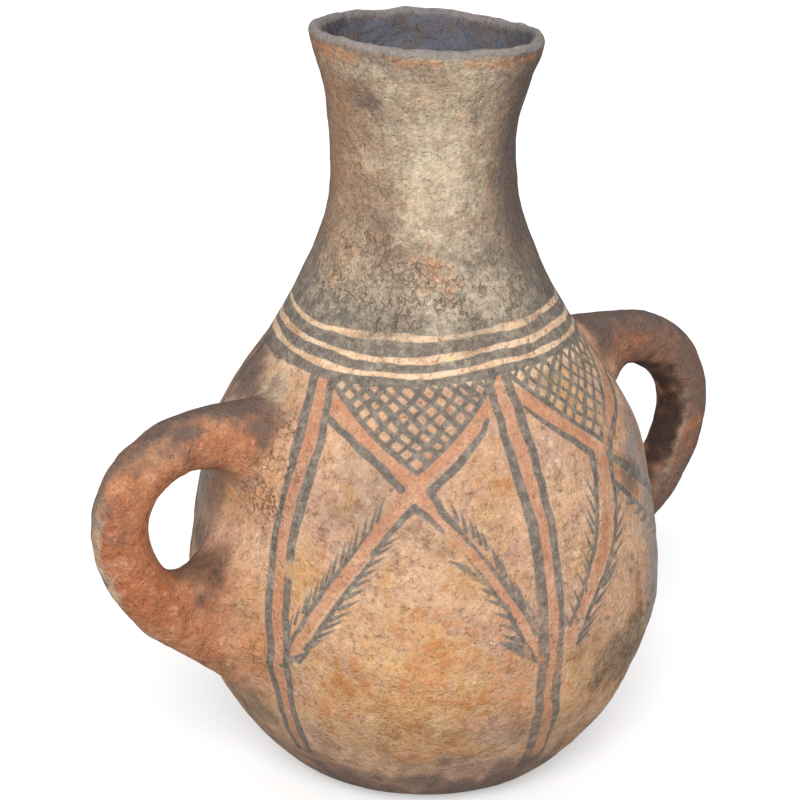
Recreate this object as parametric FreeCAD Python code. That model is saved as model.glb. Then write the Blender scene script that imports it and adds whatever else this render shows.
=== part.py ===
"""A hand-built terracotta jar with two loop handles, as the separate pieces of clay it is made of.

The jar stands on Z = 0 with its axis on Z. The handles lie along X, the painted front faces -Y.
A slab makes the base, wide coils lapped one on another make the wall, a last coil makes the lip,
and each handle is a rolled bar whose two ends are pegged through the wall and luted with clay.
"""

import FreeCAD, Part
import os

# Heights and widths over the outside of the jar, in millimetres
JAR_HEIGHT = 402.0
BASE_DIAMETER = 114.0
BELLY_DIAMETER = 253.0
BELLY_HEIGHT = 108.0
WAIST_DIAMETER = 94.6
WAIST_HEIGHT = 332.0
MOUTH_DIAMETER = 119.5

# Thickness of the clay
FLOOR_THICKNESS = 12.0
FOOT_WALL = 11.0
BELLY_WALL = 8.5
WAIST_WALL = 7.5
LIP_THICKNESS = 6.5

# Each coil laps the one below on a slope, which rises this much from the outside to the inside
JOINT_LAP = 8.0

# Loop handles: how far the bar's centre line stands out past the widest part of the belly
LEFT_STANDOFF = 55.9
RIGHT_STANDOFF = 57.5

# Thickness of each bar seen from the front at its upper root, its bend and its lower root
LEFT_BAR_UPPER = 31.0
LEFT_BAR_BEND = 29.0
LEFT_BAR_LOWER = 37.0
RIGHT_BAR_UPPER = 32.5
RIGHT_BAR_BEND = 31.0
RIGHT_BAR_LOWER = 37.0
LEFT_BAR_WIDTH = 29.0
RIGHT_BAR_WIDTH = 26.0

# The end of each bar narrows to a peg that fills a hole through the wall
PEG_DIAMETER = 15.0

# Luting clay round each root: its reach along the bar, its spread on the wall and its outer edge
LUTING_REACH = 30.0
LUTING_SPREAD = 11.0
LUTING_EDGE = 1.2

# How deep the bars and the luting clay are drawn inside the wall before they are cut to it
BAR_BURY = 50.0
LUTING_BURY = 20.0

# How far a cutting shape runs past what it cuts
OVERRUN = 30.0

# Shares of a rise are counted from base to belly, from belly to waist, or from waist to lip.
# Outline from base to belly: share of the growth in radius, share of the rise
FOOT_OUTLINE_SHARES = (
    (0.273, 0.074),
    (0.453, 0.185),
    (0.642, 0.333),
    (0.806, 0.519),
    (0.936, 0.741),
)

# Outline from belly to waist: share of the loss in radius, share of the rise
SHOULDER_OUTLINE_SHARES = (
    (0.032, 0.125),
    (0.086, 0.250),
    (0.152, 0.348),
    (0.260, 0.429),
    (0.390, 0.500),
    (0.598, 0.607),
    (0.767, 0.714),
    (0.903, 0.821),
    (0.987, 0.929),
)

# Outline from waist to mouth: share of the growth in radius, share of the rise
MOUTH_OUTLINE_SHARES = (
    (0.055, 0.229),
    (0.240, 0.429),
    (0.520, 0.629),
    (0.820, 0.829),
)

# Coils from base to belly, with the share of the rise at which each laps the one below.
# The foot coil laps the base slab level with the top of the floor.
FOOT_JOINT_SHARES = (
    ("lower_belly_coil", 0.372),
    ("belly_coil", 0.633),
)

# Coils from belly to waist, with the share of the rise at which each laps the one below
SHOULDER_JOINT_SHARES = (
    ("upper_belly_coil", 0.053),
    ("lower_shoulder_coil", 0.193),
    ("shoulder_coil", 0.340),
    ("neck_root_coil", 0.534),
    ("lower_neck_coil", 0.670),
    ("middle_neck_coil", 0.857),
)

# Coils from waist to lip, with the share of the rise at which each laps the one below
MOUTH_JOINT_SHARES = (
    ("upper_neck_coil", 0.173),
    ("rim_coil", 0.742),
)

# Roots of each bar: share of the rise from belly to waist, share of the rise from base to belly
LEFT_ROOT_SHARES = (0.406, 0.944)
RIGHT_ROOT_SHARES = (0.442, 0.861)

# Bends of each bar's centre line: the root that it is nearest, share of the way out from there to
# the furthest reach, share of the rise from lower to upper root
LEFT_BAR_SHARES = (("upper", 0.505, 1.103), ("upper", 1.0, 0.862), ("lower", 0.727, 0.274))
RIGHT_BAR_SHARES = (("upper", 0.539, 1.022), ("upper", 1.0, 0.740), ("lower", 0.808, 0.312))

# Share of the way along each bar at which its bend has its own thickness
BAR_BEND_SHARE = 0.5

# Places of the bar's cross-sections along its centre line
BAR_SECTION_SHARES = (0.0, 0.08, 0.20, 0.34, 0.48, 0.62, 0.76, 0.90, 1.0)

# Flare of the luting clay: share of its reach along the bar, share of its spread there
LUTING_FLARE_SHARES = (
    (0.00, 0.90),
    (0.15, 0.60),
    (0.40, 0.27),
    (0.70, 0.08),
    (1.00, 0.00),
)

# Spread of the luting clay where its drawing starts inside the wall, and halfway out from there
LUTING_BURIED_SHARES = (1.40, 1.14)

AXIS_FOOT = FreeCAD.Vector(0, 0, 0)
UP = FreeCAD.Vector(0, 0, 1)
ACROSS = FreeCAD.Vector(0, 1, 0)


def on_section(radius, height):
    """Point of the wall's section, which is drawn at the back of the jar."""
    return FreeCAD.Vector(0, radius, height)


def blend(low, high, share):
    """Value that lies a share of the way from low to high."""
    return low + (high - low) * share


def foot_height(share):
    """Height a share of the way up from base to belly."""
    return blend(0, BELLY_HEIGHT, share)


def shoulder_height(share):
    """Height a share of the way up from belly to waist."""
    return blend(BELLY_HEIGHT, WAIST_HEIGHT, share)


def mouth_height(share):
    """Height a share of the way up from waist to lip, where the lip's rounding starts."""
    return blend(WAIST_HEIGHT, JAR_HEIGHT - LIP_THICKNESS / 2, share)


def outline_stations():
    """Points of the outside of the wall, from the edge of the base to the lip."""
    base = BASE_DIAMETER / 2
    belly = BELLY_DIAMETER / 2
    waist = WAIST_DIAMETER / 2
    mouth = MOUTH_DIAMETER / 2
    points = [on_section(base, 0)]
    for growth, rise in FOOT_OUTLINE_SHARES:
        points.append(on_section(blend(base, belly, growth), foot_height(rise)))
    points.append(on_section(belly, BELLY_HEIGHT))
    for loss, rise in SHOULDER_OUTLINE_SHARES:
        points.append(on_section(blend(belly, waist, loss), shoulder_height(rise)))
    points.append(on_section(waist, WAIST_HEIGHT))
    for growth, rise in MOUTH_OUTLINE_SHARES:
        points.append(on_section(blend(waist, mouth, growth), mouth_height(rise)))
    points.append(on_section(mouth, mouth_height(1)))
    return points


def coil_joints():
    """Name of each coil, from the foot up, with the height at which it laps what is below."""
    joints = [("foot_coil", FLOOR_THICKNESS)]
    joints += [(name, foot_height(share)) for name, share in FOOT_JOINT_SHARES]
    joints += [(name, shoulder_height(share)) for name, share in SHOULDER_JOINT_SHARES]
    joints += [(name, mouth_height(share)) for name, share in MOUTH_JOINT_SHARES]
    return joints


def wall_thickness(height):
    """Thickness of the wall at a height, thickest at the foot."""
    if height < BELLY_HEIGHT:
        return blend(FOOT_WALL, BELLY_WALL, height / BELLY_HEIGHT)
    if height < WAIST_HEIGHT:
        return blend(BELLY_WALL, WAIST_WALL, (height - BELLY_HEIGHT) / (WAIST_HEIGHT - BELLY_HEIGHT))
    return blend(WAIST_WALL, LIP_THICKNESS, (height - WAIST_HEIGHT) / (JAR_HEIGHT - WAIST_HEIGHT))


def smooth_curve(points):
    """Smooth curve through a list of points."""
    curve = Part.BSplineCurve()
    curve.interpolate(points)
    return curve


def inner_stations(stations, outside):
    """Points of the inside of the wall, each a wall's thickness square to the outside."""
    points = [on_section(BASE_DIAMETER / 2, FLOOR_THICKNESS)]
    for station in stations[1:-1]:
        along = outside.tangent(outside.parameter(station))[0]
        inward = FreeCAD.Vector(0, -along.z, along.y)
        points.append(station + inward * wall_thickness(station.z))
    lip = stations[-1]
    points.append(on_section(lip.y - LIP_THICKNESS, lip.z))
    return points


class Wall:
    """Outline of the jar, the section of its wall, and the outside filled in to the axis."""

    def __init__(self):
        stations = outline_stations()
        self.outside = smooth_curve(stations)
        inner = inner_stations(stations, self.outside)
        self.inside = smooth_curve(inner)
        crown = on_section(stations[-1].y - LIP_THICKNESS / 2, JAR_HEIGHT)
        lip = Part.Arc(stations[-1], crown, inner[-1])
        base_line = Part.makeLine(on_section(0, 0), stations[0])
        floor_centre = on_section(0, FLOOR_THICKNESS)
        self.section = Part.Face(Part.Wire([
            base_line,
            self.outside.toShape(),
            lip.toShape(),
            self.inside.toShape(),
            Part.makeLine(inner[0], floor_centre),
            Part.makeLine(floor_centre, on_section(0, 0)),
        ]))
        self.filled = Part.Face(Part.Wire([
            base_line,
            self.outside.toShape(),
            lip.toShape(lip.FirstParameter, lip.parameter(crown)),
            Part.makeLine(crown, on_section(0, JAR_HEIGHT)),
            Part.makeLine(on_section(0, JAR_HEIGHT), on_section(0, 0)),
        ]))

    def meet(self, curve, height):
        """Point of the outside or the inside at a height."""
        level = Part.LineSegment(on_section(0, height), on_section(BELLY_DIAMETER, height))
        crossing = curve.intersect(level)[0]
        return on_section(crossing.Y, height)

    def face_at(self, side, height):
        """Point of the outside under a handle, and the direction square to the wall there."""
        point = self.meet(self.outside, height)
        along = self.outside.tangent(self.outside.parameter(point))[0]
        return FreeCAD.Vector(side * point.y, 0, height), FreeCAD.Vector(side * along.z, 0, -along.y)


def lap_line(wall, height):
    """Ends of the sloping line on which one coil laps another, run past both sides of the wall."""
    outer = wall.meet(wall.outside, height - JOINT_LAP / 2)
    inner = wall.meet(wall.inside, height + JOINT_LAP / 2)
    outward = (outer - inner).normalize()
    return inner - outward * OVERRUN, outer + outward * OVERRUN


def turned(face):
    """Solid made by turning a face of the section once round the jar's axis."""
    return face.revolve(AXIS_FOOT, UP, 360)


def outside_the_wall(shape, filled):
    """What lies outside the jar of a shape that starts inside its wall."""
    return max(shape.cut(filled).Solids, key=lambda solid: abs(solid.CenterOfMass.x))


def wall_pieces(wall):
    """Base slab and coils of the wall, cut from its section along the laps."""
    names = ["base_slab"] + [name for name, height in coil_joints()]
    lines = [lap_line(wall, height) for name, height in coil_joints()]
    below = (on_section(0, -OVERRUN), on_section(BELLY_DIAMETER, -OVERRUN))
    above = (on_section(0, JAR_HEIGHT + OVERRUN), on_section(BELLY_DIAMETER, JAR_HEIGHT + OVERRUN))
    lines = [below] + lines + [above]
    pieces = {}
    for name, (low_in, low_out), (high_in, high_out) in zip(names, lines, lines[1:]):
        corners = [low_in, low_out, high_out, high_in]
        if name == "base_slab":
            corners.append(on_section(0, high_in.z))
        band = Part.Face(Part.makePolygon(corners + [low_in]))
        pieces[name] = turned(wall.section.common(band).Faces[0])
    return pieces


def oval(centre, along, thickness, width):
    """Closed oval wire square to a direction in the XZ plane, thick in it and wide across it."""
    rise = ACROSS.cross(along).normalize()
    place = FreeCAD.Matrix(
        rise.x * thickness / 2, ACROSS.x * width / 2, along.x, centre.x,
        rise.y * thickness / 2, ACROSS.y * width / 2, along.y, centre.y,
        rise.z * thickness / 2, ACROSS.z * width / 2, along.z, centre.z,
        0, 0, 0, 1)
    return Part.Wire(Part.makeCircle(1).transformGeometry(place).Edges)


class Bar:
    """A rolled bar of clay bent into a loop handle, with its pegs and its luting clay."""

    def __init__(self, wall, side, standoff, roots, bends, thicknesses, width):
        upper_share, lower_share = roots
        self.roots = {
            "upper": wall.face_at(side, shoulder_height(upper_share)),
            "lower": wall.face_at(side, foot_height(lower_share)),
        }
        self.thicknesses = thicknesses
        self.width = width
        upper = self.roots["upper"][0]
        lower = self.roots["lower"][0]
        reach = side * (BELLY_DIAMETER / 2 + standoff)
        points = [upper]
        for end, out, rise in bends:
            across = blend(self.roots[end][0].x, reach, out)
            points.append(FreeCAD.Vector(across, 0, blend(lower.z, upper.z, rise)))
        points.append(lower)
        first = (points[0] - points[1]).normalize() * BAR_BURY
        last = (points[-1] - points[-2]).normalize() * BAR_BURY
        self.curve = smooth_curve([points[0] + first] + points + [points[-1] + last])
        self.length = self.curve.length()

    def thickness(self, share):
        """Thickness of the bar a share of the way along its centre line."""
        upper, bend, lower = self.thicknesses
        if share < BAR_BEND_SHARE:
            return blend(upper, bend, share / BAR_BEND_SHARE)
        return blend(bend, lower, (share - BAR_BEND_SHARE) / (1 - BAR_BEND_SHARE))

    def place(self, share):
        """Point and direction of the centre line a share of the way along it."""
        parameter = self.curve.parameterAtDistance(share * self.length)
        return self.curve.value(parameter), self.curve.tangent(parameter)[0]

    def solid(self):
        """Whole bar, with both ends still inside the wall."""
        ovals = []
        for share in BAR_SECTION_SHARES:
            centre, along = self.place(share)
            ovals.append(oval(centre, along, self.thickness(share), self.width))
        return Part.makeLoft(ovals, True)

    def leading_away(self, end):
        """Share of the length at which the upper or lower root leaves the wall, and the sense away."""
        if end == "upper":
            return BAR_BURY / self.length, 1
        return 1 - BAR_BURY / self.length, -1

    def bore(self, end):
        """Round hole for the peg at a root, run past both faces of the wall."""
        share, sense = self.leading_away(end)
        centre, along = self.place(share)
        inward = along * -sense
        return Part.makeCylinder(PEG_DIAMETER / 2, BAR_BURY + OVERRUN, centre - inward * OVERRUN, inward)

    def luting_oval(self, end, reach_share, spread):
        """Oval round the bar at a share of the luting's reach, turned from the wall to the bar."""
        share, sense = self.leading_away(end)
        station = share + sense * reach_share * LUTING_REACH / self.length
        centre, along = self.place(station)
        away = along * sense
        outward = self.roots[end][1]
        lean = max(reach_share, 0)
        facing = (outward * (1 - lean) + away * lean).normalize()
        thickness = self.thickness(station) / facing.dot(away)
        return oval(centre, facing, thickness + 2 * spread, self.width + 2 * spread)

    def luting(self, end, bar_solid):
        """Flare of clay round a root, hollow where the bar passes and not yet cut to the wall."""
        start = -LUTING_BURY / LUTING_REACH
        flare = ((start, LUTING_BURIED_SHARES[0]), (start / 2, LUTING_BURIED_SHARES[1]))
        flare += LUTING_FLARE_SHARES
        ovals = []
        for reach_share, spread in flare:
            ovals.append(self.luting_oval(end, reach_share, blend(LUTING_EDGE, LUTING_SPREAD, spread)))
        first = self.luting_oval(end, flare[0][0], LUTING_SPREAD)
        last = self.luting_oval(end, flare[-1][0], LUTING_SPREAD)
        held = bar_solid.common(Part.makeLoft([first, last], True, True))
        faces = Part.makeLoft(ovals, False).Faces
        for face in held.Faces:
            if isinstance(face.Surface, Part.Plane):
                rim = min(ovals, key=lambda wire: wire.CenterOfMass.distanceToPoint(face.CenterOfMass))
                faces.append(Part.makeFace([rim, face.OuterWire], "Part::FaceMakerBullseye"))
            else:
                faces.append(face)
        shell = Part.makeShell(faces)
        shell.sewShape()
        return Part.makeSolid(shell)


def jar_bars(wall):
    """The left and the right handle's bars."""
    left = Bar(
        wall, -1, LEFT_STANDOFF, LEFT_ROOT_SHARES, LEFT_BAR_SHARES,
        (LEFT_BAR_UPPER, LEFT_BAR_BEND, LEFT_BAR_LOWER), LEFT_BAR_WIDTH)
    right = Bar(
        wall, 1, RIGHT_STANDOFF, RIGHT_ROOT_SHARES, RIGHT_BAR_SHARES,
        (RIGHT_BAR_UPPER, RIGHT_BAR_BEND, RIGHT_BAR_LOWER), RIGHT_BAR_WIDTH)
    return {"left": left, "right": right}


def jar_pieces():
    """Every piece of the jar by name."""
    wall = Wall()
    wall_solid = turned(wall.section)
    filled = turned(wall.filled)
    pieces = wall_pieces(wall)
    coils = [name for name, height in coil_joints()]
    for side, bar in jar_bars(wall).items():
        bar_solid = bar.solid()
        handle = outside_the_wall(bar_solid, filled)
        for end in ("upper", "lower"):
            bore = bar.bore(end)
            handle = handle.fuse(bore.common(wall_solid))
            pieces[f"{end}_luting_{side}"] = outside_the_wall(bar.luting(end, bar_solid), filled)
            for name in coils:
                if pieces[name].BoundBox.intersect(bore.BoundBox):
                    pieces[name] = pieces[name].cut(bore)
        pieces[f"handle_{side}"] = handle.removeSplitter()
    return pieces


def main():
    """Write one file for each piece."""
    os.makedirs("parts", exist_ok=True)
    for name, piece in jar_pieces().items():
        print(f"{name}: {len(piece.Solids)} solid, sound {piece.isValid()}, {piece.Volume:.0f} cubic mm")
        piece.exportStep(f"parts/{name}.step")


main()
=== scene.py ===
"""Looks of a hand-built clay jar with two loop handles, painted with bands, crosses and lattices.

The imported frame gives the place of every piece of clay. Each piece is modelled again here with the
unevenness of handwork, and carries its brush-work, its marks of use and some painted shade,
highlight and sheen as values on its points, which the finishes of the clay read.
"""

import logging
import math
from collections.abc import Iterator, Sequence
from dataclasses import dataclass, field
from enum import Enum, StrEnum
from functools import cached_property

import bmesh
import bpy
import numpy as np
from mathutils import Matrix, Vector


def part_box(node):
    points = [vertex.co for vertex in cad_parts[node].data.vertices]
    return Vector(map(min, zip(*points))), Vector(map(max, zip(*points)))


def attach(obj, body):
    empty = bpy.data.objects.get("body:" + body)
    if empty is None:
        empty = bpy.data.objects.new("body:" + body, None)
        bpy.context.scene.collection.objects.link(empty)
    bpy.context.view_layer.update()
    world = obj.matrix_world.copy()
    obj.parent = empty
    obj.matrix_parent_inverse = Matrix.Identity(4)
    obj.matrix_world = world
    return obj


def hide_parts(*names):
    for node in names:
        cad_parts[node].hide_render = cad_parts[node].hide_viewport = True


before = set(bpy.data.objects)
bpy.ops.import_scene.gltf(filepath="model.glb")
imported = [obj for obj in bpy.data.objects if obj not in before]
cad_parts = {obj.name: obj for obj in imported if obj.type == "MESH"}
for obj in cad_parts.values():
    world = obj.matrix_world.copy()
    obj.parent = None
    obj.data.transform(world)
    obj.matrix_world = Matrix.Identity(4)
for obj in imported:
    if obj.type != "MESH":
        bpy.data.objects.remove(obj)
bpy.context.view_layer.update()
REPORT = logging.getLogger("painted_jar")

Array = np.ndarray
Socket = bpy.types.NodeSocket

MM = 0.001
TURN = 2 * math.pi

# How far inside the outermost radius and height the clay stays, in metres
HAIR = 0.0001

# Places at which the wall's curves are sampled, to read them by height
SAMPLES = 4000

# The photograph looks at the jar from this far round, counted from its front, in degrees
VIEW_TURN = 36.5

# What a degree round the jar and a millimetre of height count for in the length of a stroke
PATH_WEIGHTS = (1.7, 1.0)

# Rise of the shoulder for each millimetre along it
SHOULDER_RISE = 0.86

# Millimetres from the paint, below zero, that stand for clay with no paint near it
BARE = -6.0

# Degrees between faces at which an edge is shaded sharp
SHARP_ANGLE = 50


def eased(low: float, high: float, value: Array) -> Array:
    """Smooth step.

    Args:
        low: value at which the step starts.
        high: value at which it ends, which may be below low.
        value: values to turn into steps.

    Returns:
        Numbers from 0 to 1.
    """
    share = np.clip((value - low) / (high - low), 0, 1)
    return share * share * (3 - 2 * share)


def blend(low: Array, high: Array, share: Array) -> Array:
    """Return what lies a share of the way from low to high."""
    return low + (high - low) * share


def unit(vectors: Array) -> Array:
    """Return vectors brought to a length of 1."""
    return vectors / np.linalg.norm(vectors, axis=-1, keepdims=True)


def turned_back(degrees: Array) -> Array:
    """Return angles brought to between -180 and 180 degrees."""
    return (degrees + 180) % 360 - 180


class SmoothCurve:
    """Smooth line through given points, in any number of directions."""

    FINE_STEPS = 1000

    def __init__(self, points: Sequence[Sequence[float]]) -> None:
        """Work out the bends of the line.

        Args:
            points: places that the line passes through, in order.
        """
        self.points = np.array(points, float)
        steps = np.linalg.norm(np.diff(self.points, axis=0), axis=1)
        self.marks = np.concatenate(([0.0], np.cumsum(steps)))
        slopes = np.diff(self.points, axis=0) / steps[:, None]
        system = np.eye(len(self.points))
        wanted = np.zeros_like(self.points)
        for k in range(1, len(self.points) - 1):
            system[k, k - 1:k + 2] = steps[k - 1], 2 * (steps[k - 1] + steps[k]), steps[k]
            wanted[k] = 6 * (slopes[k] - slopes[k - 1])
        self.bends = np.linalg.solve(system, wanted)

    @property
    def length(self) -> float:
        """Distance along the chords from the first point to the last."""
        return float(self.marks[-1])

    def at(self, mark: Array) -> Array:
        """Points of the line.

        Args:
            mark: distances along the chords.

        Returns:
            One row for each distance.
        """
        mark = np.asarray(mark, float)
        span = np.clip(np.searchsorted(self.marks, mark, side="right") - 1, 0, len(self.marks) - 2)
        step = self.marks[span + 1] - self.marks[span]
        ahead = ((mark - self.marks[span]) / step)[..., None]
        behind = 1 - ahead
        square = (step * step / 6)[..., None]
        straight = behind * self.points[span] + ahead * self.points[span + 1]
        near = (behind ** 3 - behind) * self.bends[span]
        far = (ahead ** 3 - ahead) * self.bends[span + 1]
        return straight + (near + far) * square

    def even(self, count: int) -> Array:
        """Return a number of points at even distances over the whole line."""
        return self.at(np.linspace(0, self.length, count))

    def along(self, mark: Array) -> Array:
        """Return the unit directions of the line at distances along the chords."""
        reach = self.length / self.FINE_STEPS
        return unit(self.at(np.asarray(mark) + reach) - self.at(np.asarray(mark) - reach))


@dataclass(frozen=True)
class Unevenness:
    """One size of the lumps that hands leave in clay."""

    spacing: float
    height: float
    seed: int
    waves: int = 16
    spacing_shares: tuple = (0.7, 1.5)

    def at(self, points: Array) -> Array:
        """Heights of the lumps.

        Args:
            points: places, one in each row, in metres.

        Returns:
            How far the clay stands out at each place, in metres.
        """
        dice = np.random.default_rng(self.seed)
        total = np.zeros(len(points))
        for _ in range(self.waves):
            direction = dice.normal(size=3)
            direction /= np.linalg.norm(direction) * self.spacing * dice.uniform(*self.spacing_shares)
            total += np.sin(points @ direction * TURN + dice.uniform(0, TURN))
        return total * self.height * math.sqrt(2 / self.waves)


def heaped(sizes: Sequence[Unevenness], points: Array) -> Array:
    """Return the heights of lumps of several sizes together."""
    return sum(lumps.at(points) for lumps in sizes)


@dataclass(frozen=True)
class JarWall:
    """Outline and thickness of the jar's wall, in metres, with the hand's unevenness."""

    height: float = 0.402
    base_radius: float = 0.057
    belly_radius: float = 0.1265
    belly_height: float = 0.108
    waist_radius: float = 0.0473
    waist_height: float = 0.332
    mouth_radius: float = 0.05975
    floor_thickness: float = 0.012
    foot_wall: float = 0.011
    belly_wall: float = 0.0085
    waist_wall: float = 0.0075
    lip_thickness: float = 0.0065
    joint_lap: float = 0.008
    base_rounding: float = 0.003
    foot_outline_shares: tuple = (
        (0.273, 0.074), (0.453, 0.185), (0.642, 0.333), (0.806, 0.519), (0.936, 0.741))
    shoulder_outline_shares: tuple = (
        (0.032, 0.125), (0.086, 0.250), (0.152, 0.348), (0.260, 0.429), (0.390, 0.500),
        (0.598, 0.607), (0.767, 0.714), (0.903, 0.821), (0.987, 0.929))
    mouth_outline_shares: tuple = ((0.055, 0.229), (0.240, 0.429), (0.520, 0.629), (0.820, 0.829))
    outer_lumps: tuple = (
        Unevenness(0.085, 0.00035, 11), Unevenness(0.034, 0.00022, 12), Unevenness(0.013, 0.00011, 13),
        Unevenness(0.0048, 0.00004, 14, 24))
    inner_lumps: tuple = (Unevenness(0.040, 0.0006, 21), Unevenness(0.016, 0.0004, 22))
    lip_lumps: tuple = (
        Unevenness(0.060, 0.0006, 31), Unevenness(0.019, 0.00028, 32), Unevenness(0.007, 0.00012, 33))
    rested_height: float = 0.006
    lip_drop: float = 0.0032
    lip_tilt: tuple = (0.0031, 0.0004)
    lip_wave_share: float = 0.4
    lip_reach: float = 0.030
    lean: float = 0.0024
    straight_end: float = 0.012

    def __post_init__(self) -> None:
        """Draw the outside and the inside of the wall."""
        radii = (self.base_radius, self.belly_radius, self.waist_radius, self.mouth_radius)
        heights = (0.0, self.belly_height, self.waist_height, self.lip_height)
        stations = [(radii[0], heights[0])]
        outlines = (self.foot_outline_shares, self.shoulder_outline_shares, self.mouth_outline_shares)
        for part, shares in enumerate(outlines):
            for growth, rise in shares:
                radius = blend(radii[part], radii[part + 1], growth)
                stations.append((radius, blend(heights[part], heights[part + 1], rise)))
            stations.append((radii[part + 1], heights[part + 1]))
        outside = SmoothCurve(stations)
        inner = [(self.base_radius, self.floor_thickness)]
        for mark, (radius, height) in zip(outside.marks[1:-1], stations[1:-1]):
            across, up = outside.along(mark)
            thickness = self.thickness(height)
            inner.append((radius - up * thickness, height + across * thickness))
        inner.append((self.mouth_radius - self.lip_thickness, self.lip_height))
        object.__setattr__(self, "outside", outside)
        object.__setattr__(self, "inside", SmoothCurve(inner))
        object.__setattr__(self, "outer_table", outside.even(SAMPLES))

    @property
    def lip_height(self) -> float:
        """Height at which the rounding of the lip starts."""
        return self.height - self.lip_thickness / 2

    def thickness(self, height: float) -> float:
        """Return the thickness of the wall at a height, thickest at the foot."""
        heights = (0, self.belly_height, self.waist_height, self.height)
        walls = (self.foot_wall, self.belly_wall, self.waist_wall, self.lip_thickness)
        return float(np.interp(height, heights, walls))

    def radius(self, heights: Array) -> Array:
        """Return the outer radius at heights, before the hand's unevenness."""
        return np.interp(heights, self.outer_table[:, 1], self.outer_table[:, 0])

    def degree(self, heights: Array) -> Array:
        """Return how many millimetres a degree round the jar is at heights in millimetres."""
        return np.radians(1) * self.radius(heights * MM) / MM

    def stretch(self, curve: SmoothCurve, low: float, high: float, pitch: float) -> list[tuple[float, float]]:
        """Even places on one face of the wall.

        Args:
            curve: the outside or the inside of the wall.
            low: height of the first place.
            high: height of the last place.
            pitch: wanted distance between places.

        Returns:
            Radius and height of each place, from low to high.
        """
        marks = np.linspace(0, curve.length, SAMPLES)
        ends = np.interp((low, high), curve.at(marks)[:, 1], marks)
        count = max(2, round((ends[1] - ends[0]) / pitch) + 1)
        return [tuple(place) for place in curve.at(np.linspace(ends[0], ends[1], count))]

    def depth(self, points: Array) -> Array:
        """Return how deep points lie in the wall: 0 on the outside, 1 on the inside."""
        below = self.radius(points[:, 2]) - np.hypot(points[:, 0], points[:, 1])
        return np.clip(below / self.lip_thickness, 0, 1)

    def uneven(self, points: Array) -> Array:
        """Move points of the smooth wall to where hands left the clay.

        Args:
            points: places on the smooth wall, one in each row.

        Returns:
            The moved places.
        """
        depth = self.depth(points)
        radius = np.hypot(points[:, 0], points[:, 1])
        lumps = blend(heaped(self.outer_lumps, points), heaped(self.inner_lumps, points), depth)
        moved = radius + lumps * eased(0.0, self.rested_height, points[:, 2])
        lip = eased(self.height - self.lip_reach, self.lip_height, points[:, 2])
        around = points / np.maximum(radius, MM)[:, None] * self.mouth_radius
        around[:, 2] = 0
        wave, dents, nicks = (size.at(around) for size in self.lip_lumps)
        moved += lip * depth * (wave + dents)
        turn = math.radians(VIEW_TURN)
        left = np.array((-math.cos(turn), math.sin(turn), 0))
        back = np.array((math.sin(turn), math.cos(turn), 0))
        tilt = around @ (left * self.lip_tilt[0] + back * self.lip_tilt[1]) / self.mouth_radius
        drop = lip * (tilt - self.lip_drop + wave * self.lip_wave_share + dents + nicks)
        out = points.copy()
        scale = np.minimum(moved, self.belly_radius - HAIR) / np.maximum(radius, MM)
        out[:, :2] *= np.where(radius > MM, scale, 1)[:, None]
        lean = eased(self.waist_height, self.height - self.straight_end, points[:, 2]) * self.lean
        out[:, :2] -= lean[:, None] * left[:2]
        out[:, 2] = np.minimum(points[:, 2] + drop, self.height - HAIR)
        return out

    def skin(self, degrees: Array, heights: Array, sunk: float) -> Array:
        """Places on or just under the uneven outside.

        Args:
            degrees: angles round the jar, counted from the front towards the right handle.
            heights: heights in metres.
            sunk: how far below the outside to go.

        Returns:
            One row for each place.
        """
        angles = np.radians(degrees)
        radius = self.radius(heights)
        smooth = np.stack((radius * np.sin(angles), -radius * np.cos(angles), heights), axis=-1)
        places = self.uneven(smooth)
        places[:, :2] *= (1 - sunk / radius)[:, None]
        return places


def round_the_jar(points: Array) -> Array:
    """Return the angles of points, in degrees from the front towards the right handle."""
    return np.degrees(np.arctan2(points[:, 0], -points[:, 1]))


class Pigment(StrEnum):
    """What the potter's brush held."""

    BLACK = "black_paint"
    RED = "red_paint"


@dataclass(frozen=True)
class Stroke:
    """One pull of the brush, with places in view degrees and millimetres of height."""

    pigment: Pigment
    widths: tuple
    places: tuple
    shake: float = 0.16
    width_shake: float = 0.045
    pitch: float = 6.0

    def path(self, turn: float, mirrored: bool, seed: int) -> tuple[Array, Array]:
        """The stroke as drawn.

        Args:
            turn: degrees by which the stroke is carried round the jar.
            mirrored: whether it is drawn the other way round first.
            seed: start of the hand's shake.

        Returns:
            Angle and height of closely set places, and the brush's half width at each, in
            degrees and millimetres.
        """
        places = np.array(self.places, float)
        if mirrored:
            places[:, 0] *= -1
        places[:, 0] += turn
        curve = SmoothCurve(places * PATH_WEIGHTS)
        count = max(3, int(curve.length / self.pitch) + 2)
        drawn = curve.even(count) / PATH_WEIGHTS
        dice = np.random.default_rng(seed)
        drawn[:, 0] += dice.normal(size=count) * self.shake
        drawn[:, 1] += dice.normal(size=count) * self.shake
        widths = np.interp(np.linspace(0, 1, count), np.linspace(0, 1, len(self.widths)), self.widths)
        widths = widths * (1 + dice.normal(size=count) * self.width_shake)
        return drawn, widths / 2


@dataclass(frozen=True)
class Band:
    """A red band edged in black that runs down the body, by its four edges at a few heights."""

    edges: tuple
    red_overlap: float = 1.5

    @property
    def strokes(self) -> Iterator[Stroke]:
        """The band's red middle, which runs a little under the black, and its two black sides."""
        table = np.array(self.edges, float)
        heights = table[:, 0]
        parts = ((Pigment.RED, 2, self.red_overlap), (Pigment.BLACK, 1, 0), (Pigment.BLACK, 3, 0))
        for pigment, first, overlap in parts:
            middle = (table[:, first] + table[:, first + 1]) / 2
            width = (table[:, first + 1] - table[:, first]) * WALL.degree(heights) + overlap
            yield Stroke(pigment, tuple(width), tuple(zip(middle, heights)))


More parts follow.
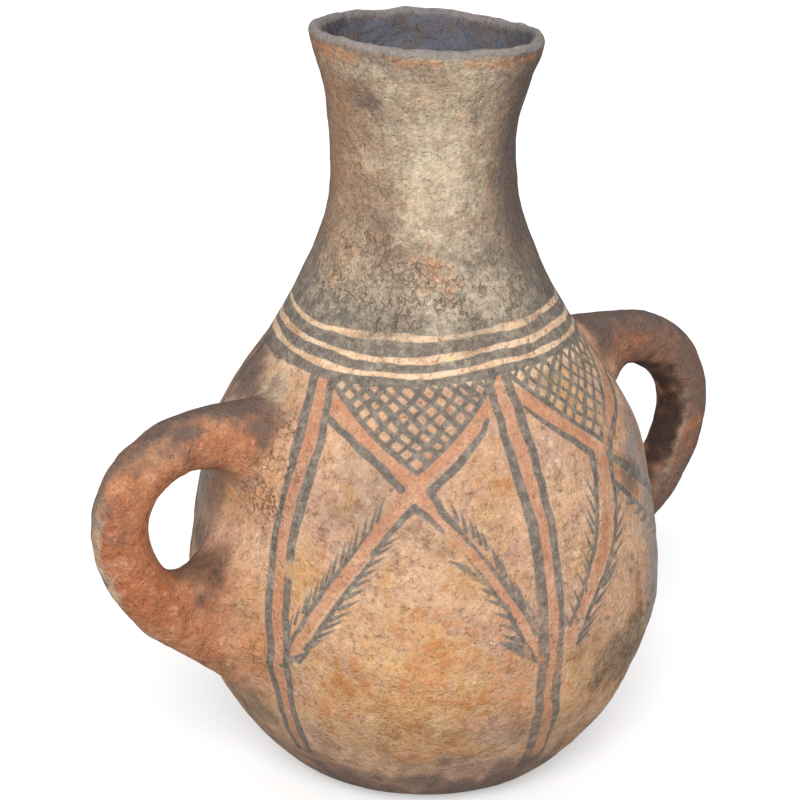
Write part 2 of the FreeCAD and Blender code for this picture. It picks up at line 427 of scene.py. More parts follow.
@dataclass(frozen=True)
class Lattice:
    """Crossing black lines that fill a triangle which hangs from the dark neck.

    The lines stray and waver by shares of their spacing, and swell by millimetres. They end a
    little outside the triangle and its border.
    """

    left: float
    right: float
    tip: float
    top: float
    foot: float
    lines: int
    half_line: float = 1.0
    stray: float = 0.13
    swell: tuple = (-0.25, 0.45)
    waver: tuple = (0.10, 0.35)
    edge_share: float = 0.72
    side_overrun: float = 1.2
    top_overrun: float = 4
    border_half: float = 1.3
    border_inset: float = 0.2
    border_overruns: tuple = (3, 2)
    half_reach: float = 34
    margin: float = 4

    def cover(self, degrees: Array, heights: Array, seed: int) -> Array:
        """How far places lie inside the lines.

        Args:
            degrees: view angles of the places.
            heights: heights in millimetres.
            seed: start of the hand's shake.

        Returns:
            Millimetres, above zero where there is paint.
        """
        dice = np.random.default_rng(seed)
        below, width = self.top - heights, self.right - self.left
        down = below / (self.top - self.foot)
        start, end = blend(self.left, self.tip, down), blend(self.right, self.tip, down)
        millimetres = WALL.degree(heights)
        slope = SHOULDER_RISE * (self.top - self.foot)
        inside = np.full(len(degrees), BARE)
        offsets = dice.uniform(-self.stray, self.stray, (2, self.lines + 3))
        swells = dice.uniform(*self.swell, (2, self.lines + 3))
        sides = ((degrees - start, self.tip - self.left), (end - degrees, self.tip - self.right))
        for side, (from_edge, lean) in enumerate(sides):
            across = from_edge / width * self.lines
            across = across + self.waver[0] * np.sin(heights * self.waver[1] + 2 * side + seed)
            nearest = np.clip(np.round(across), 0, self.lines + 1).astype(int)
            away = np.abs(across - nearest - offsets[side][nearest])
            steepness = np.hypot(1 / millimetres, lean / slope) * self.lines / width
            line = self.half_line + swells[side][nearest] - away / steepness
            inside = np.maximum(inside, line)
        edge = np.minimum(degrees - start, end - degrees) * millimetres * self.edge_share
        reach = np.minimum(edge + self.side_overrun, below / SHOULDER_RISE + self.top_overrun)
        body = np.minimum(reach, inside)
        ends = np.minimum(below + self.border_overruns[0], (heights - self.foot) + self.border_overruns[1])
        border = np.minimum(self.border_half - np.abs(edge - self.border_inset), ends)
        return np.maximum(body, border)


@dataclass(frozen=True)
class Cross:
    """A red cross edged in black, with a latticed triangle above and fern-like barbs below."""

    lattice: Lattice
    strokes: tuple


def pulls(pigment: Pigment, *rows: tuple) -> tuple[Stroke, ...]:
    """Return a stroke of one pigment for each row of its widths and its places."""
    return tuple(Stroke(pigment, widths, tuple(places)) for widths, *places in rows)


def barbs(lean: float, fall: float, widths: tuple, count: int, line: tuple) -> tuple[Stroke, ...]:
    """Short tapering strokes whose tips follow a line.

    Args:
        lean: degrees from a stroke's tip to its foot.
        fall: millimetres by which the foot lies below the tip.
        widths: widths from foot to tip in millimetres.
        count: how many strokes there are.
        line: places that the line of the tips passes through.

    Returns:
        The strokes.
    """
    stray, least, most = 0.22, 0.8, 1.2
    dice = np.random.default_rng(count)
    curve = SmoothCurve(np.array(line, float) * PATH_WEIGHTS)
    marks = (np.arange(count) + dice.uniform(-stray, stray, count)) / (count - 1) * curve.length
    strokes = []
    for (angle, height), size in zip(curve.at(marks) / PATH_WEIGHTS, dice.uniform(least, most, count)):
        foot = (angle + lean * size, height - fall * size)
        strokes.append(Stroke(Pigment.BLACK, widths, (foot, (angle, height)), shake=0.07))
    return tuple(strokes)


WALL = JarWall()

# Middles of the handles' roots, how far out and how high in metres, and how orange the wall is there
ROOTS = ((-0.1060, 0.1989, 0.22), (-0.1265, 0.1020, 0.52), (0.1040, 0.2070, 0.25), (0.1255, 0.0930, 0.45))
ROOT_STRAY = Unevenness(0.016, 0.0016, 63)

# Metres from a root at which its orange ends and is full, and how much more than the clay's own
# colour its edge strays
ORANGE_REACH = (0.058, 0.022)
ORANGE_STRAY = 2

# Metres by which clay stands off the wall where the colour of the bar starts and is full
BAR_STANDS = (-0.002, 0.018)

# Heights in metres at which the pale slip and the brown wash of the neck start and are full, and
# metres below the top at which the crown of the lip starts and is full
SLIP_STARTS = (0.234, 0.238)
NECK_STARTS = (0.262, 0.300)
CROWN_BELOW = (0.0056, 0.0012)

# Depths in the wall at which the colour of the inside starts and is full, and how much of it the
# crown of the lip takes away
INSIDE_STARTS = (0.35, 0.95)
CROWN_SPARES = 0.6

BAND_LEFT = Band((
    (236, -42.0, -38.3, -34.2, -31.4),
    (230, -40.9, -37.4, -33.1, -30.3),
    (210, -38.8, -35.5, -31.3, -28.6),
    (190, -37.4, -36.0, -32.2, -29.0),
    (170, -38.8, -36.6, -33.5, -31.0),
    (150, -39.0, -37.2, -34.2, -31.9),
    (131, -39.3, -37.2, -34.3, -32.2),
    (110, -38.8, -36.6, -33.9, -31.9),
    (90, -38.8, -36.8, -34.4, -32.4),
    (70, -39.4, -37.4, -35.0, -33.1),
    (55, -40.0, -38.1, -35.6, -33.4),
    (36, -40.6, -38.9, -36.6, -34.6),
))

BAND_RIGHT = Band((
    (238, 20.9, 23.8, 27.8, 31.4),
    (230, 21.6, 24.4, 28.4, 31.9),
    (210, 22.5, 25.3, 29.4, 31.9),
    (190, 23.8, 26.6, 30.0, 32.2),
    (170, 25.6, 28.4, 31.3, 33.4),
    (150, 26.6, 29.4, 32.0, 34.3),
    (130, 27.0, 29.8, 32.6, 34.0),
    (100, 26.9, 30.0, 32.2, 34.0),
    (80, 27.5, 30.0, 32.2, 34.7),
    (60, 28.4, 31.0, 34.2, 36.6),
    (40, 29.0, 32.2, 35.6, 36.9),
    (30, 29.6, 32.6, 36.0, 37.4),
))

CROSS_LEFT = Cross(Lattice(left=-34.5, right=25, tip=-1.6, top=238.5, foot=200, lines=10), (
    *pulls(
        Pigment.RED,
        ((9, 9.4, 8.4), (-33.5, 231), (-20, 217.8), (-10, 207), (-2.5, 195), (2.5, 187)),
        ((9, 9.4, 8.4), (23, 230), (10, 213), (-2.5, 196), (-5, 190)),
        ((7.4, 7.2, 7, 6.2), (-4, 192), (-10, 175), (-20, 145), (-27.8, 120), (-32.5, 101)),
        ((7.8, 7.2, 7, 6.2), (0.5, 189), (10.5, 165), (17, 145), (24, 120), (28.2, 103))),
    *pulls(
        Pigment.BLACK,
        ((3.4, 4.4, 4.4), (-31, 221.5), (-20, 211.5), (-10, 200.3), (-5.4, 193)),
        ((2.6, 4.2, 4.8), (19.5, 221), (12.5, 208.5), (6.6, 200), (2.2, 192.4)),
        ((4, 3.6, 1.6), (2, 191.5), (4.8, 182.5), (8.2, 174), (11.4, 166)),
        ((4.4, 3, 2.2), (-2.2, 184.5), (-5.5, 178.5), (-8.5, 170.5), (-12, 161.5)),
        ((4.4, 3, 2.2), (-2.2, 184.5), (1.5, 180), (4.5, 173.5)),
        ((1, 2.4, 2.6, 2.2), (-12.5, 173.5), (-18, 157.5), (-24.5, 137), (-30.5, 115), (-33.5, 104)),
        ((1, 2.6, 2.8, 2.2), (-10.5, 163.5), (-16, 147.5), (-22, 127.5), (-27, 109.5), (-29.6, 100)),
        ((1, 2.6, 3, 2.4), (10.4, 170.5), (14.6, 158), (19.2, 144), (23.6, 130), (26.6, 116)),
        ((0.8, 2, 2.6, 2.4), (9.6, 161), (14, 149), (18.6, 134), (22.4, 118), (26.4, 103))),
    *barbs(-1.2, 12, (2, 1.4, 0.4), 14, ((-9.5, 190), (-16.5, 172), (-24, 149), (-31, 126))),
    *barbs(-4.6, 5.5, (2.2, 1.6, 0.4), 14, ((-5, 172), (-11.2, 152.5), (-18, 127.5), (-29.5, 102))),
    *barbs(1.2, 10, (2.2, 1.6, 0.4), 13, ((6.4, 189), (12.4, 176.5), (19.2, 154.5), (25.6, 131))),
    *barbs(4.8, 5, (2.4, 2, 0.5), 9, ((5.4, 160), (10.8, 150), (15, 135), (18.5, 114.5))),
    *pulls(Pigment.BLACK, ((1.6, 3.2, 2.6), (17.5, 115.5), (22.5, 108.5), (27.4, 101))),
))

CROSS_RIGHT = Cross(Lattice(left=30, right=91, tip=56.5, top=240.5, foot=200, lines=10), (
    *pulls(
        Pigment.RED,
        ((8.6, 9, 8.4), (31.5, 230), (40, 219.5), (48, 206), (54.5, 194), (59.5, 183)),
        ((7.4, 7.6, 7.2), (88, 227), (80, 219), (70, 211.5), (61, 202), (54.5, 193)),
        ((7.2, 7.2, 6.6, 5.8), (53.8, 192), (51, 175), (48, 150), (43.8, 136), (39, 125), (34.6, 106)),
        ((6.4, 5.8, 4.8), (57.5, 186), (62.5, 176), (70, 164), (78, 151), (86, 138), (93, 120))),
    *pulls(
        Pigment.BLACK,
        ((1.8, 3.4, 4.4), (32.8, 224.5), (38, 215.5), (45, 205.5), (50, 197)),
        ((4.2, 3.4, 3), (58.8, 195.5), (63.5, 201), (70, 205.5), (80, 214), (86, 220.5)),
        ((4.4, 3.2, 2.8, 2.4),
         (59, 196.5), (56.6, 187), (55.8, 172.5), (52.4, 152), (48, 137), (43, 124.5), (38, 106)),
        ((4.6, 3, 2.4, 2), (50, 197), (49, 185), (47, 168), (44.4, 150), (40.4, 134), (35.6, 118)),
        ((3.6, 7.4, 6.6, 4), (57, 193), (62, 185.5), (67, 179), (75, 168), (83, 155), (90, 142), (94, 130)),
        ((3, 2.6, 2), (57.5, 178.5), (63, 168), (71, 155), (79, 142), (86, 128), (92, 111))),
    *barbs(2.2, 11, (2, 1.4, 0.4), 11, ((45, 187), (42.2, 165), (39.4, 148), (33.6, 126))),
    *barbs(-5.4, 6.5, (2.4, 1.8, 0.4), 11, ((60, 176), (57.6, 156), (53, 140), (43, 112))),
    *barbs(5.4, 1.5, (4.2, 3.2, 0.7), 5, ((60, 166), (67, 152), (76, 136))),
    *barbs(-1.5, 11, (2.2, 1.6, 0.4), 6, ((68, 188), (78, 175), (89, 156))),
))


@dataclass(frozen=True)
class Repeat:
    """Where a band or a cross stands: degrees carried round, and whether it is mirrored."""

    motif: Band | Cross
    turn: float
    mirrored: bool = False


@dataclass
class BrushWork:
    """All that the potter painted on the outside of the wall."""

    repeats: tuple = (
        Repeat(BAND_LEFT, 0.0),
        Repeat(BAND_RIGHT, 0.0),
        Repeat(BAND_LEFT, 59.5, mirrored=True),
        Repeat(BAND_LEFT, 239.0, mirrored=True),
        Repeat(BAND_LEFT, 180.0),
        Repeat(BAND_RIGHT, 181.5),
        Repeat(CROSS_LEFT, 0.0),
        Repeat(CROSS_RIGHT, 0.0),
        Repeat(CROSS_LEFT, 178.5),
        Repeat(CROSS_RIGHT, 179.5),
    )
    pale_angles: tuple = (-180, -130, -80, -50, -20, 0, 20, 50, 80, 130, 180)
    pale_heights: tuple = (
        (260, 262.5, 261, 258, 257.5, 257.4, 258.5, 260, 261.2, 262, 260),
        (251, 253.5, 252, 250.3, 248.2, 248, 250, 252, 252.4, 253, 251),
        (244, 246.5, 246, 243, 241.5, 241.5, 243.5, 245, 245.3, 245.5, 244),
    )
    wash_edge: tuple = (
        (-180, 238.5), (-130, 239.0), (-90, 238.0), (-50, 236.5), (-10, 236.0), (10, 238.0),
        (40, 240.0), (90, 240.0), (130, 239.5), (180, 238.5))
    pale_width: float = 3.3
    pale_swell: float = 0.9
    pale_samples: int = 721
    shakes: tuple = (Unevenness(0.030, 0.55, 41), Unevenness(0.009, 0.30, 42))
    pale_lumps: tuple = (0.035, 0.22)
    pale_seed: int = 51
    pale_shake: float = 0.5
    lattice_seed: int = 70
    seeds_apart: int = 1000
    margin: float = 3
    degrees_of_margin: float = 1.2
    strokes: list = field(default_factory=list)

    def __post_init__(self) -> None:
        """Lay out every stroke once, as 3-D places and half widths."""
        for number, repeat in enumerate(self.repeats):
            for count, stroke in enumerate(repeat.motif.strokes):
                seed = self.seeds_apart * number + count
                drawn, halves = stroke.path(repeat.turn, repeat.mirrored, seed)
                self.strokes.append((stroke.pigment, drawn, halves, self.lifted(drawn)))

    @staticmethod
    def lifted(drawn: Array) -> Array:
        """Return view degrees and millimetres as places on the smooth outside, in millimetres."""
        angles = np.radians(drawn[:, 0] - VIEW_TURN)
        radius = WALL.radius(drawn[:, 1] * MM) / MM
        return np.stack((radius * np.sin(angles), -radius * np.cos(angles), drawn[:, 1]), axis=-1)

    def brushed(self, points: Array) -> dict[Pigment, Array]:
        """How far places lie inside what the brush covered.

        Args:
            points: places on the smooth wall, in metres.

        Returns:
            For each pigment, millimetres above zero where there is paint.
        """
        spots = points / MM
        degrees = turned_back(round_the_jar(points) + VIEW_TURN)
        heights = spots[:, 2]
        cover = {pigment: np.full(len(points), BARE) for pigment in Pigment}
        for pigment, drawn, halves, places in self.strokes:
            margin = halves.max() + self.margin
            low, high = drawn[:, 1].min() - margin, drawn[:, 1].max() + margin
            if heights.max() < low or heights.min() > high:
                continue
            middle = (drawn[:, 0].min() + drawn[:, 0].max()) / 2
            reach = (drawn[:, 0].max() - drawn[:, 0].min()) / 2 + margin * self.degrees_of_margin
            near = np.abs(turned_back(degrees - middle)) < reach
            chosen = np.flatnonzero(near & (heights > low) & (heights < high))
            if len(chosen):
                best = self.stroked(spots[chosen], places, halves)
                cover[pigment][chosen] = np.maximum(cover[pigment][chosen], best)
        self.latticed(degrees, heights, cover[Pigment.BLACK])
        self.washed(points, degrees, heights, cover[Pigment.BLACK])
        return cover

    @staticmethod
    def stroked(spots: Array, places: Array, halves: Array) -> Array:
        """Return how far spots lie inside one stroke, in millimetres."""
        best = np.full(len(spots), BARE)
        for first, last, thin, thick in zip(places, places[1:], halves, halves[1:]):
            step = last - first
            share = np.clip((spots - first) @ step / (step @ step), 0, 1)
            away = np.linalg.norm(spots - first - share[:, None] * step, axis=1)
            best = np.maximum(best, blend(thin, thick, share) - away)
        return best

    def latticed(self, degrees: Array, heights: Array, black: Array) -> None:
        """Add the lattices of every cross to the black paint."""
        for number, repeat in enumerate(self.repeats):
            if isinstance(repeat.motif, Band):
                continue
            lattice = repeat.motif.lattice
            middle = (lattice.left + lattice.right) / 2
            away = turned_back(degrees - repeat.turn - middle)
            near = (heights > lattice.foot - lattice.margin) & (heights < lattice.top + lattice.margin)
            chosen = np.flatnonzero(near & (np.abs(away) < lattice.half_reach))
            if len(chosen):
                seed = self.lattice_seed + number
                lines = lattice.cover(away[chosen] + middle, heights[chosen], seed)
                black[chosen] = np.maximum(black[chosen], lines)

    def washed(self, points: Array, degrees: Array, heights: Array, black: Array) -> None:
        """Add the dark wash of the neck to the black paint, and take out the pale lines."""
        shake = heaped(self.shakes, points)
        edge = np.interp(degrees, *zip(*self.wash_edge))
        wash = (heights - edge) / SHOULDER_RISE + shake
        np.maximum(black, np.clip(wash, BARE, -BARE), out=black)
        angles = np.linspace(-180, 180, self.pale_samples)
        for number, line in enumerate(self.pale_heights):
            drawn = SmoothCurve(tuple(zip(self.pale_angles, line))).even(self.pale_samples)
            height = np.interp(degrees, angles, np.interp(angles, drawn[:, 0], drawn[:, 1]))
            swell = Unevenness(*self.pale_lumps, self.pale_seed + number).at(points)
            width = self.pale_width * (1 + self.pale_swell * swell)
            middle = (heights - height) / SHOULDER_RISE + self.pale_shake * shake
            np.minimum(black, np.abs(middle) - width / 2, out=black)


class Mark(StrEnum):
    """A mark of fire, use and age on the clay; some marks also carry painted shade, highlight and sheen."""

    SMOKE = "smoke"
    SOOT_AND_SHADE = "soot"
    BUFF_AND_HIGHLIGHT = "buff"
    OCHRE = "ochre"
    RUST = "rust"
    BROWN = "brown"
    GREEN = "green"
    BLOOM = "bloom"
    WEAR = "wear"
    CRACK = "crack"


@dataclass(frozen=True)
class Blot:
    """A soft-edged patch of one mark: its middle, its half sizes and its strength.

    Turns are degrees round the jar, or round a bar from the outside of its loop. Ups are
    millimetres of height, or along the bar from its upper root. The edge runs from no mark to the
    full mark, in half sizes from the middle.
    """

    mark: Mark
    turn: float
    up: float
    half_turn: float
    half_up: float
    strength: float
    edge: tuple = (1.5, 0.3)

    def at(self, turns: Array, ups: Array, stray: Array) -> Array:
        """Strength of the patch.

        Args:
            turns: degrees of the places.
            ups: millimetres of the places.
            stray: numbers about zero that make the edge ragged.

        Returns:
            Numbers from 0 to the patch's strength.
        """
        away = np.hypot(turned_back(turns - self.turn) / self.half_turn, (ups - self.up) / self.half_up)
        return self.strength * eased(*self.edge, away + stray)


def patches(mark: Mark, *rows: tuple) -> tuple[Blot, ...]:
    """Return a patch of one mark for each row of its numbers."""
    return tuple(Blot(mark, *row) for row in rows)


def strongest(blots: Sequence[Blot], turns: Array, ups: Array, stray: Array) -> dict[Mark, Array]:
    """Strength of every mark where its patches may lie over one another.

    Args:
        blots: the patches.
        turns: degrees of the places.
        ups: millimetres of the places.
        stray: numbers about zero that make the edges ragged.

    Returns:
        For each mark, the strength of its strongest patch at each place.
    """
    found = {mark: np.zeros(len(turns)) for mark in Mark}
    for blot in blots:
        found[blot.mark] = np.maximum(found[blot.mark], blot.at(turns, ups, stray))
    return found


@dataclass(frozen=True)
class WallMarks:
    """Marks on the outside of the wall, in view degrees and millimetres of height."""

    blots: tuple = (
        # Pale buff patches; the wide ones on the front of the neck are partly a painted highlight
        *patches(
            Mark.BUFF_AND_HIGHLIGHT, (8, 350, 50, 70, 0.74), (10, 332, 24, 44, 1.0), (12, 300, 44, 36, 0.56),
            (8, 276, 54, 24, 0.58), (-46, 296, 30, 40, 0.36), (-38, 388, 30, 11, 0.60),
            (-54, 224, 9, 14, 0.72), (-62, 112, 9, 50, 0.45), (172, 330, 60, 60, 0.7)),
        *patches(Mark.BROWN, (-58, 345, 34, 66, 1.0), (-34, 300, 24, 26, 0.6), (50, 350, 10, 50, 0.6)),
        *patches(
            Mark.RUST, (-58, 393, 44, 7, 0.74), (-8, 395.5, 26, 4, 0.66), (46, 395, 36, 4, 0.78),
            (-33, 378, 9, 12, 0.6), (-58, 366, 16, 16, 0.5), (-28, 350, 4, 30, 0.5),
            (-62, 330, 22, 60, 0.36), (46, 325, 5, 22, 0.55), (52, 362, 7, 12, 0.5),
            (26, 367, 12, 4, 0.60), (-42, 290, 14, 18, 0.45), (8, 286, 28, 16, 0.56),
            (120, 390, 60, 8, 0.6), (-140, 390, 50, 8, 0.6), (-62, 160, 14, 26, 0.45),
            (-44, 176, 6, 14, 0.5), (-43, 143, 3, 8, 0.5), (22, 92, 12, 22, 0.66),
            (58, 110, 10, 30, 0.66), (6, 128, 22, 18, 0.52), (-24, 74, 12, 14, 0.62),
            (0, 96, 11, 24, 0.68), (24, 66, 7, 10, 0.6), (-2, 48, 18, 10, 0.66), (47, 112, 6, 26, 0.5)),
        # Smoke, and painted shade: the wide band round the foot darkens the bottom, the patch on the neck's
        # right side darkens the side away from the light, and the small patch in the left loop darkens the
        # wall inside the loop.
        *patches(
            Mark.SMOKE, (-14, 262, 18, 12, 0.50), (22, 258, 14, 10, 0.45), (80, 335, 36, 80, 0.95),
            (120, 320, 40, 80, 0.6), (-110, 330, 40, 70, 0.5), (-52, 222, 12, 14, 0.40),
            (-76, 222, 16, 20, 0.90), (-19, 186, 13, 24, 0.40), (79, 190, 8, 30, 0.55),
            (68, 176, 8, 13, 0.75), (-64, 166, 6, 26, 0.55), (0, -18, 400, 60, 0.98),
            (54, 92, 16, 30, 0.46), (6, 52, 60, 22, 0.36), (-60, 30, 40, 30, 0.6),
            (14, 34, 30, 18, 0.42), (-28, 60, 14, 12, 0.36), (95, 60, 40, 60, 0.45),
            (-112, 100, 40, 70, 0.4), (-71, 140, 8, 10, 0.8), (125, 130, 26, 60, 0.8)),
        *patches(
            Mark.OCHRE, (-4, 92, 30, 42, 1.0), (14, 160, 14, 26, 0.55), (-30, 140, 8, 30, 0.45),
            (16, 190, 9, 14, 0.6), (-46, 110, 8, 40, 0.8), (-54, 172, 8, 14, 0.8),
            (46, 148, 10, 14, 0.7), (54, 225, 10, 16, 0.8), (45, 80, 14, 26, 0.75),
            (150, 110, 60, 60, 0.7), (-140, 120, 40, 60, 0.6)),
        *patches(
            Mark.GREEN, (60, 86, 17, 28, 0.66), (26, 62, 14, 18, 0.45), (-52, 62, 14, 26, 0.6),
            (44, 232, 7, 8, 0.6), (-160, 70, 30, 26, 0.5)),
        # Pale grey on the wall inside the left loop and along the body's right edge: painted sheen, with a
        # little dusty bloom
        *patches(Mark.BLOOM, (-76, 178, 8, 30, 1.0), (-66, 200, 7, 9, 0.8), (77, 132, 12, 76, 0.96)),
        *patches(
            Mark.WEAR, (1, 168, 8, 12, 0.85), (14, 152, 5, 8, 0.5), (-33, 148, 4, 5, 0.9),
            (27, 128, 4, 16, 0.5), (62, 203, 4, 9, 0.7), (30, 45, 12, 20, 0.4), (31, 92, 5, 50, 0.40)),
        *patches(
            Mark.CRACK, (-42, 190, 9, 34, 1.0), (-52, 95, 14, 34, 0.6), (62, 80, 18, 30, 0.9),
            (0, 278, 60, 20, 0.8), (-30, 295, 30, 16, 0.7)),
    )
    strays: tuple = (Unevenness(0.030, 0.12, 61), Unevenness(0.011, 0.09, 62))

    def at(self, points: Array) -> dict[Mark, Array]:
        """Return the strength of every mark at places on the wall."""
        degrees = turned_back(round_the_jar(points) + VIEW_TURN)
        return strongest(self.blots, degrees, points[:, 2] / MM, heaped(self.strays, points))


BRUSH_WORK = BrushWork()
WALL_MARKS = WallMarks()


class Slot(Enum):
    """The record's material slots."""

    PAINTED = "painted_clay"
    WASHED = "washed_clay"
    SMOKED = "smoked_clay"
    BAR = "bar_clay"


def srgb(red: int, green: int, blue: int) -> tuple[float, float, float, float]:
    """Return a colour as seen on a screen, 0 to 255, as the shader's own numbers."""
    shares = [value / 255 for value in (red, green, blue)]
    linear = [((s + 0.055) / 1.055) ** 2.4 if s > 0.04045 else s / 12.92 for s in shares]
    return (*linear, 1.0)


class Recipe:
    """Short ways to place and join the nodes of a material or a world."""

    CLOUD_RANGE = (0.3, 0.7)
    SHIFT_UP = 0.7

    def __init__(self, owner: bpy.types.Material | bpy.types.World) -> None:
        """Empty what the recipe is for.

        Args:
            owner: the new material or world.
        """
        self.owner = owner
        self.owner.use_nodes = True
        self.tree = self.owner.node_tree
        self.tree.nodes.clear()

    @cached_property
    def place(self) -> Socket:
        """The place of what is shaded, in the piece's own coordinates."""
        return self.add("ShaderNodeTexCoord").outputs["Object"]

    def add(self, kind: str, feeds: Sequence | dict = (), **settings: object) -> bpy.types.Node:
        """Place a node.

        Args:
            kind: the node's type.
            feeds: what its inputs take, in order or by name: an output to join, a number or a colour.
            settings: the node's own settings.

        Returns:
            The new node.
        """
        node = self.tree.nodes.new(kind)
        for name, value in settings.items():
            setattr(node, name, value)
        for key, value in feeds.items() if isinstance(feeds, dict) else enumerate(feeds):
            if isinstance(value, Socket):
                self.tree.links.new(value, node.inputs[key])
            else:
                node.inputs[key].default_value = value
        return node

    def value(self, name: str) -> Socket:
        """Return a value that the mesh carries on its points."""
        return self.add("ShaderNodeAttribute", attribute_name=name).outputs["Fac"]

    def sum(self, kind: str, *numbers: object) -> Socket:
        """Return the result of a sum of one number or more."""
        return self.add("ShaderNodeMath", numbers, operation=kind).outputs[0]

    def product(self, *numbers: object) -> Socket:
        """Return numbers multiplied with one another."""
        total = numbers[0]
        for number in numbers[1:]:
            total = self.sum("MULTIPLY", total, number)
        return total

    def layered(self, *parts: tuple) -> Socket:
        """Return the sum of numbers, each with its own weight."""
        total = self.sum("MULTIPLY", *parts[0])
        for number, weight in parts[1:]:
            total = self.sum("MULTIPLY_ADD", number, weight, total)
        return total

    def step(self, value: object, low: float, high: float, most: float = 1.0) -> Socket:
        """Return a smooth step that follows a value, from 0 at low to its most at high."""
        node = self.add("ShaderNodeMapRange", (value, low, high, 0.0, most), interpolation_type="SMOOTHSTEP")
        return node.outputs[0]

    def mix(self, share: object, low: object, high: object, kind: str = "MIX") -> Socket:
        """Return two colours mixed."""
        feeds = {"Factor": share, "A": low, "B": high}
        return self.add("ShaderNodeMix", feeds, data_type="RGBA", blend_type=kind).outputs["Result"]

    def coated(self, colour: object, *coats: tuple) -> Socket:
        """Lay coats over a colour, one after another.

        Args:
            colour: what the first coat lies on.
            coats: for each, the number that it follows, where its step starts and where it ends,
                the most of it that shows, and its colour.

        Returns:
            The colour with every coat on it.
        """
        for value, low, high, most, coat in coats:
            colour = self.mix(self.step(value, low, high, most), colour, coat)
        return colour

    def noise(self, size: float, detail: float, rough: float, shift: float) -> Socket:
        """Cloudy numbers, mostly from 0 to 1.

        Args:
            size: width of the largest clouds in metres.
            detail: how many smaller sizes are laid over them.
            rough: how strong the smaller sizes are.
            shift: moves the clouds, so that two of one size differ.

        Returns:
            The numbers.
        """
        location = (shift, shift * self.SHIFT_UP, -shift)
        feeds = {"Vector": self.place, "Location": location, "Scale": (1 / size,) * 3}
        place = self.add("ShaderNodeMapping", feeds).outputs[0]
        feeds = {"Vector": place, "Scale": 1.0, "Detail": detail, "Roughness": rough}
        cloud = self.add("ShaderNodeTexNoise", feeds).outputs["Fac"]
        return self.add("ShaderNodeMapRange", (cloud, *self.CLOUD_RANGE, 0.0, 1.0), clamp=False).outputs[0]

    def veins(self, cloud: object, width: float) -> Socket:
        """Return 1 along the thin lines where clouds cross their middle value, and 0 elsewhere."""
        return self.step(self.sum("ABSOLUTE", self.sum("SUBTRACT", cloud, 0.5)), width, 0.0)

    def crazing(self, size: float, bend: object, width: float) -> Socket:
        """Thin cracks round small cells.

        Args:
            size: width of a cell in metres.
            bend: cloudy number that bends the cracks.
            width: width of a crack as a share of a cell.

        Returns:
            Numbers that are 1 along the cracks and 0 elsewhere.
        """
        bent = self.add("ShaderNodeVectorMath", (self.place, (1 / size,) * 3, bend), operation="MULTIPLY_ADD")
        feeds = {"Vector": bent.outputs[0], "Scale": 1.0}
        cells = self.add("ShaderNodeTexVoronoi", feeds, feature="DISTANCE_TO_EDGE")
        return self.step(cells.outputs["Distance"], width, 0.0)


class ClayRecipe(Recipe):
    """Recipe of one finish of the clay, with the cloudy numbers that all its layers share."""

    # Width, detail and roughness of each noise, and how far apart their clouds are taken
    SIZES = ((0.055, 5, 0.6), (0.014, 6, 0.66), (0.0050, 5, 0.66), (0.0036, 4, 0.6), (0.0017, 3, 0.7))
    APART = 3.7

    def __init__(self, name: str) -> None:
        """Place the noises, largest clouds first.

        Args:
            name: the material's name.
        """
        super().__init__(bpy.data.materials.new(name))
        noises = [self.noise(*size, self.APART * number) for number, size in enumerate(self.SIZES)]
        self.clouds, self.mottle, self.flecks, self.dots, self.grain = noises


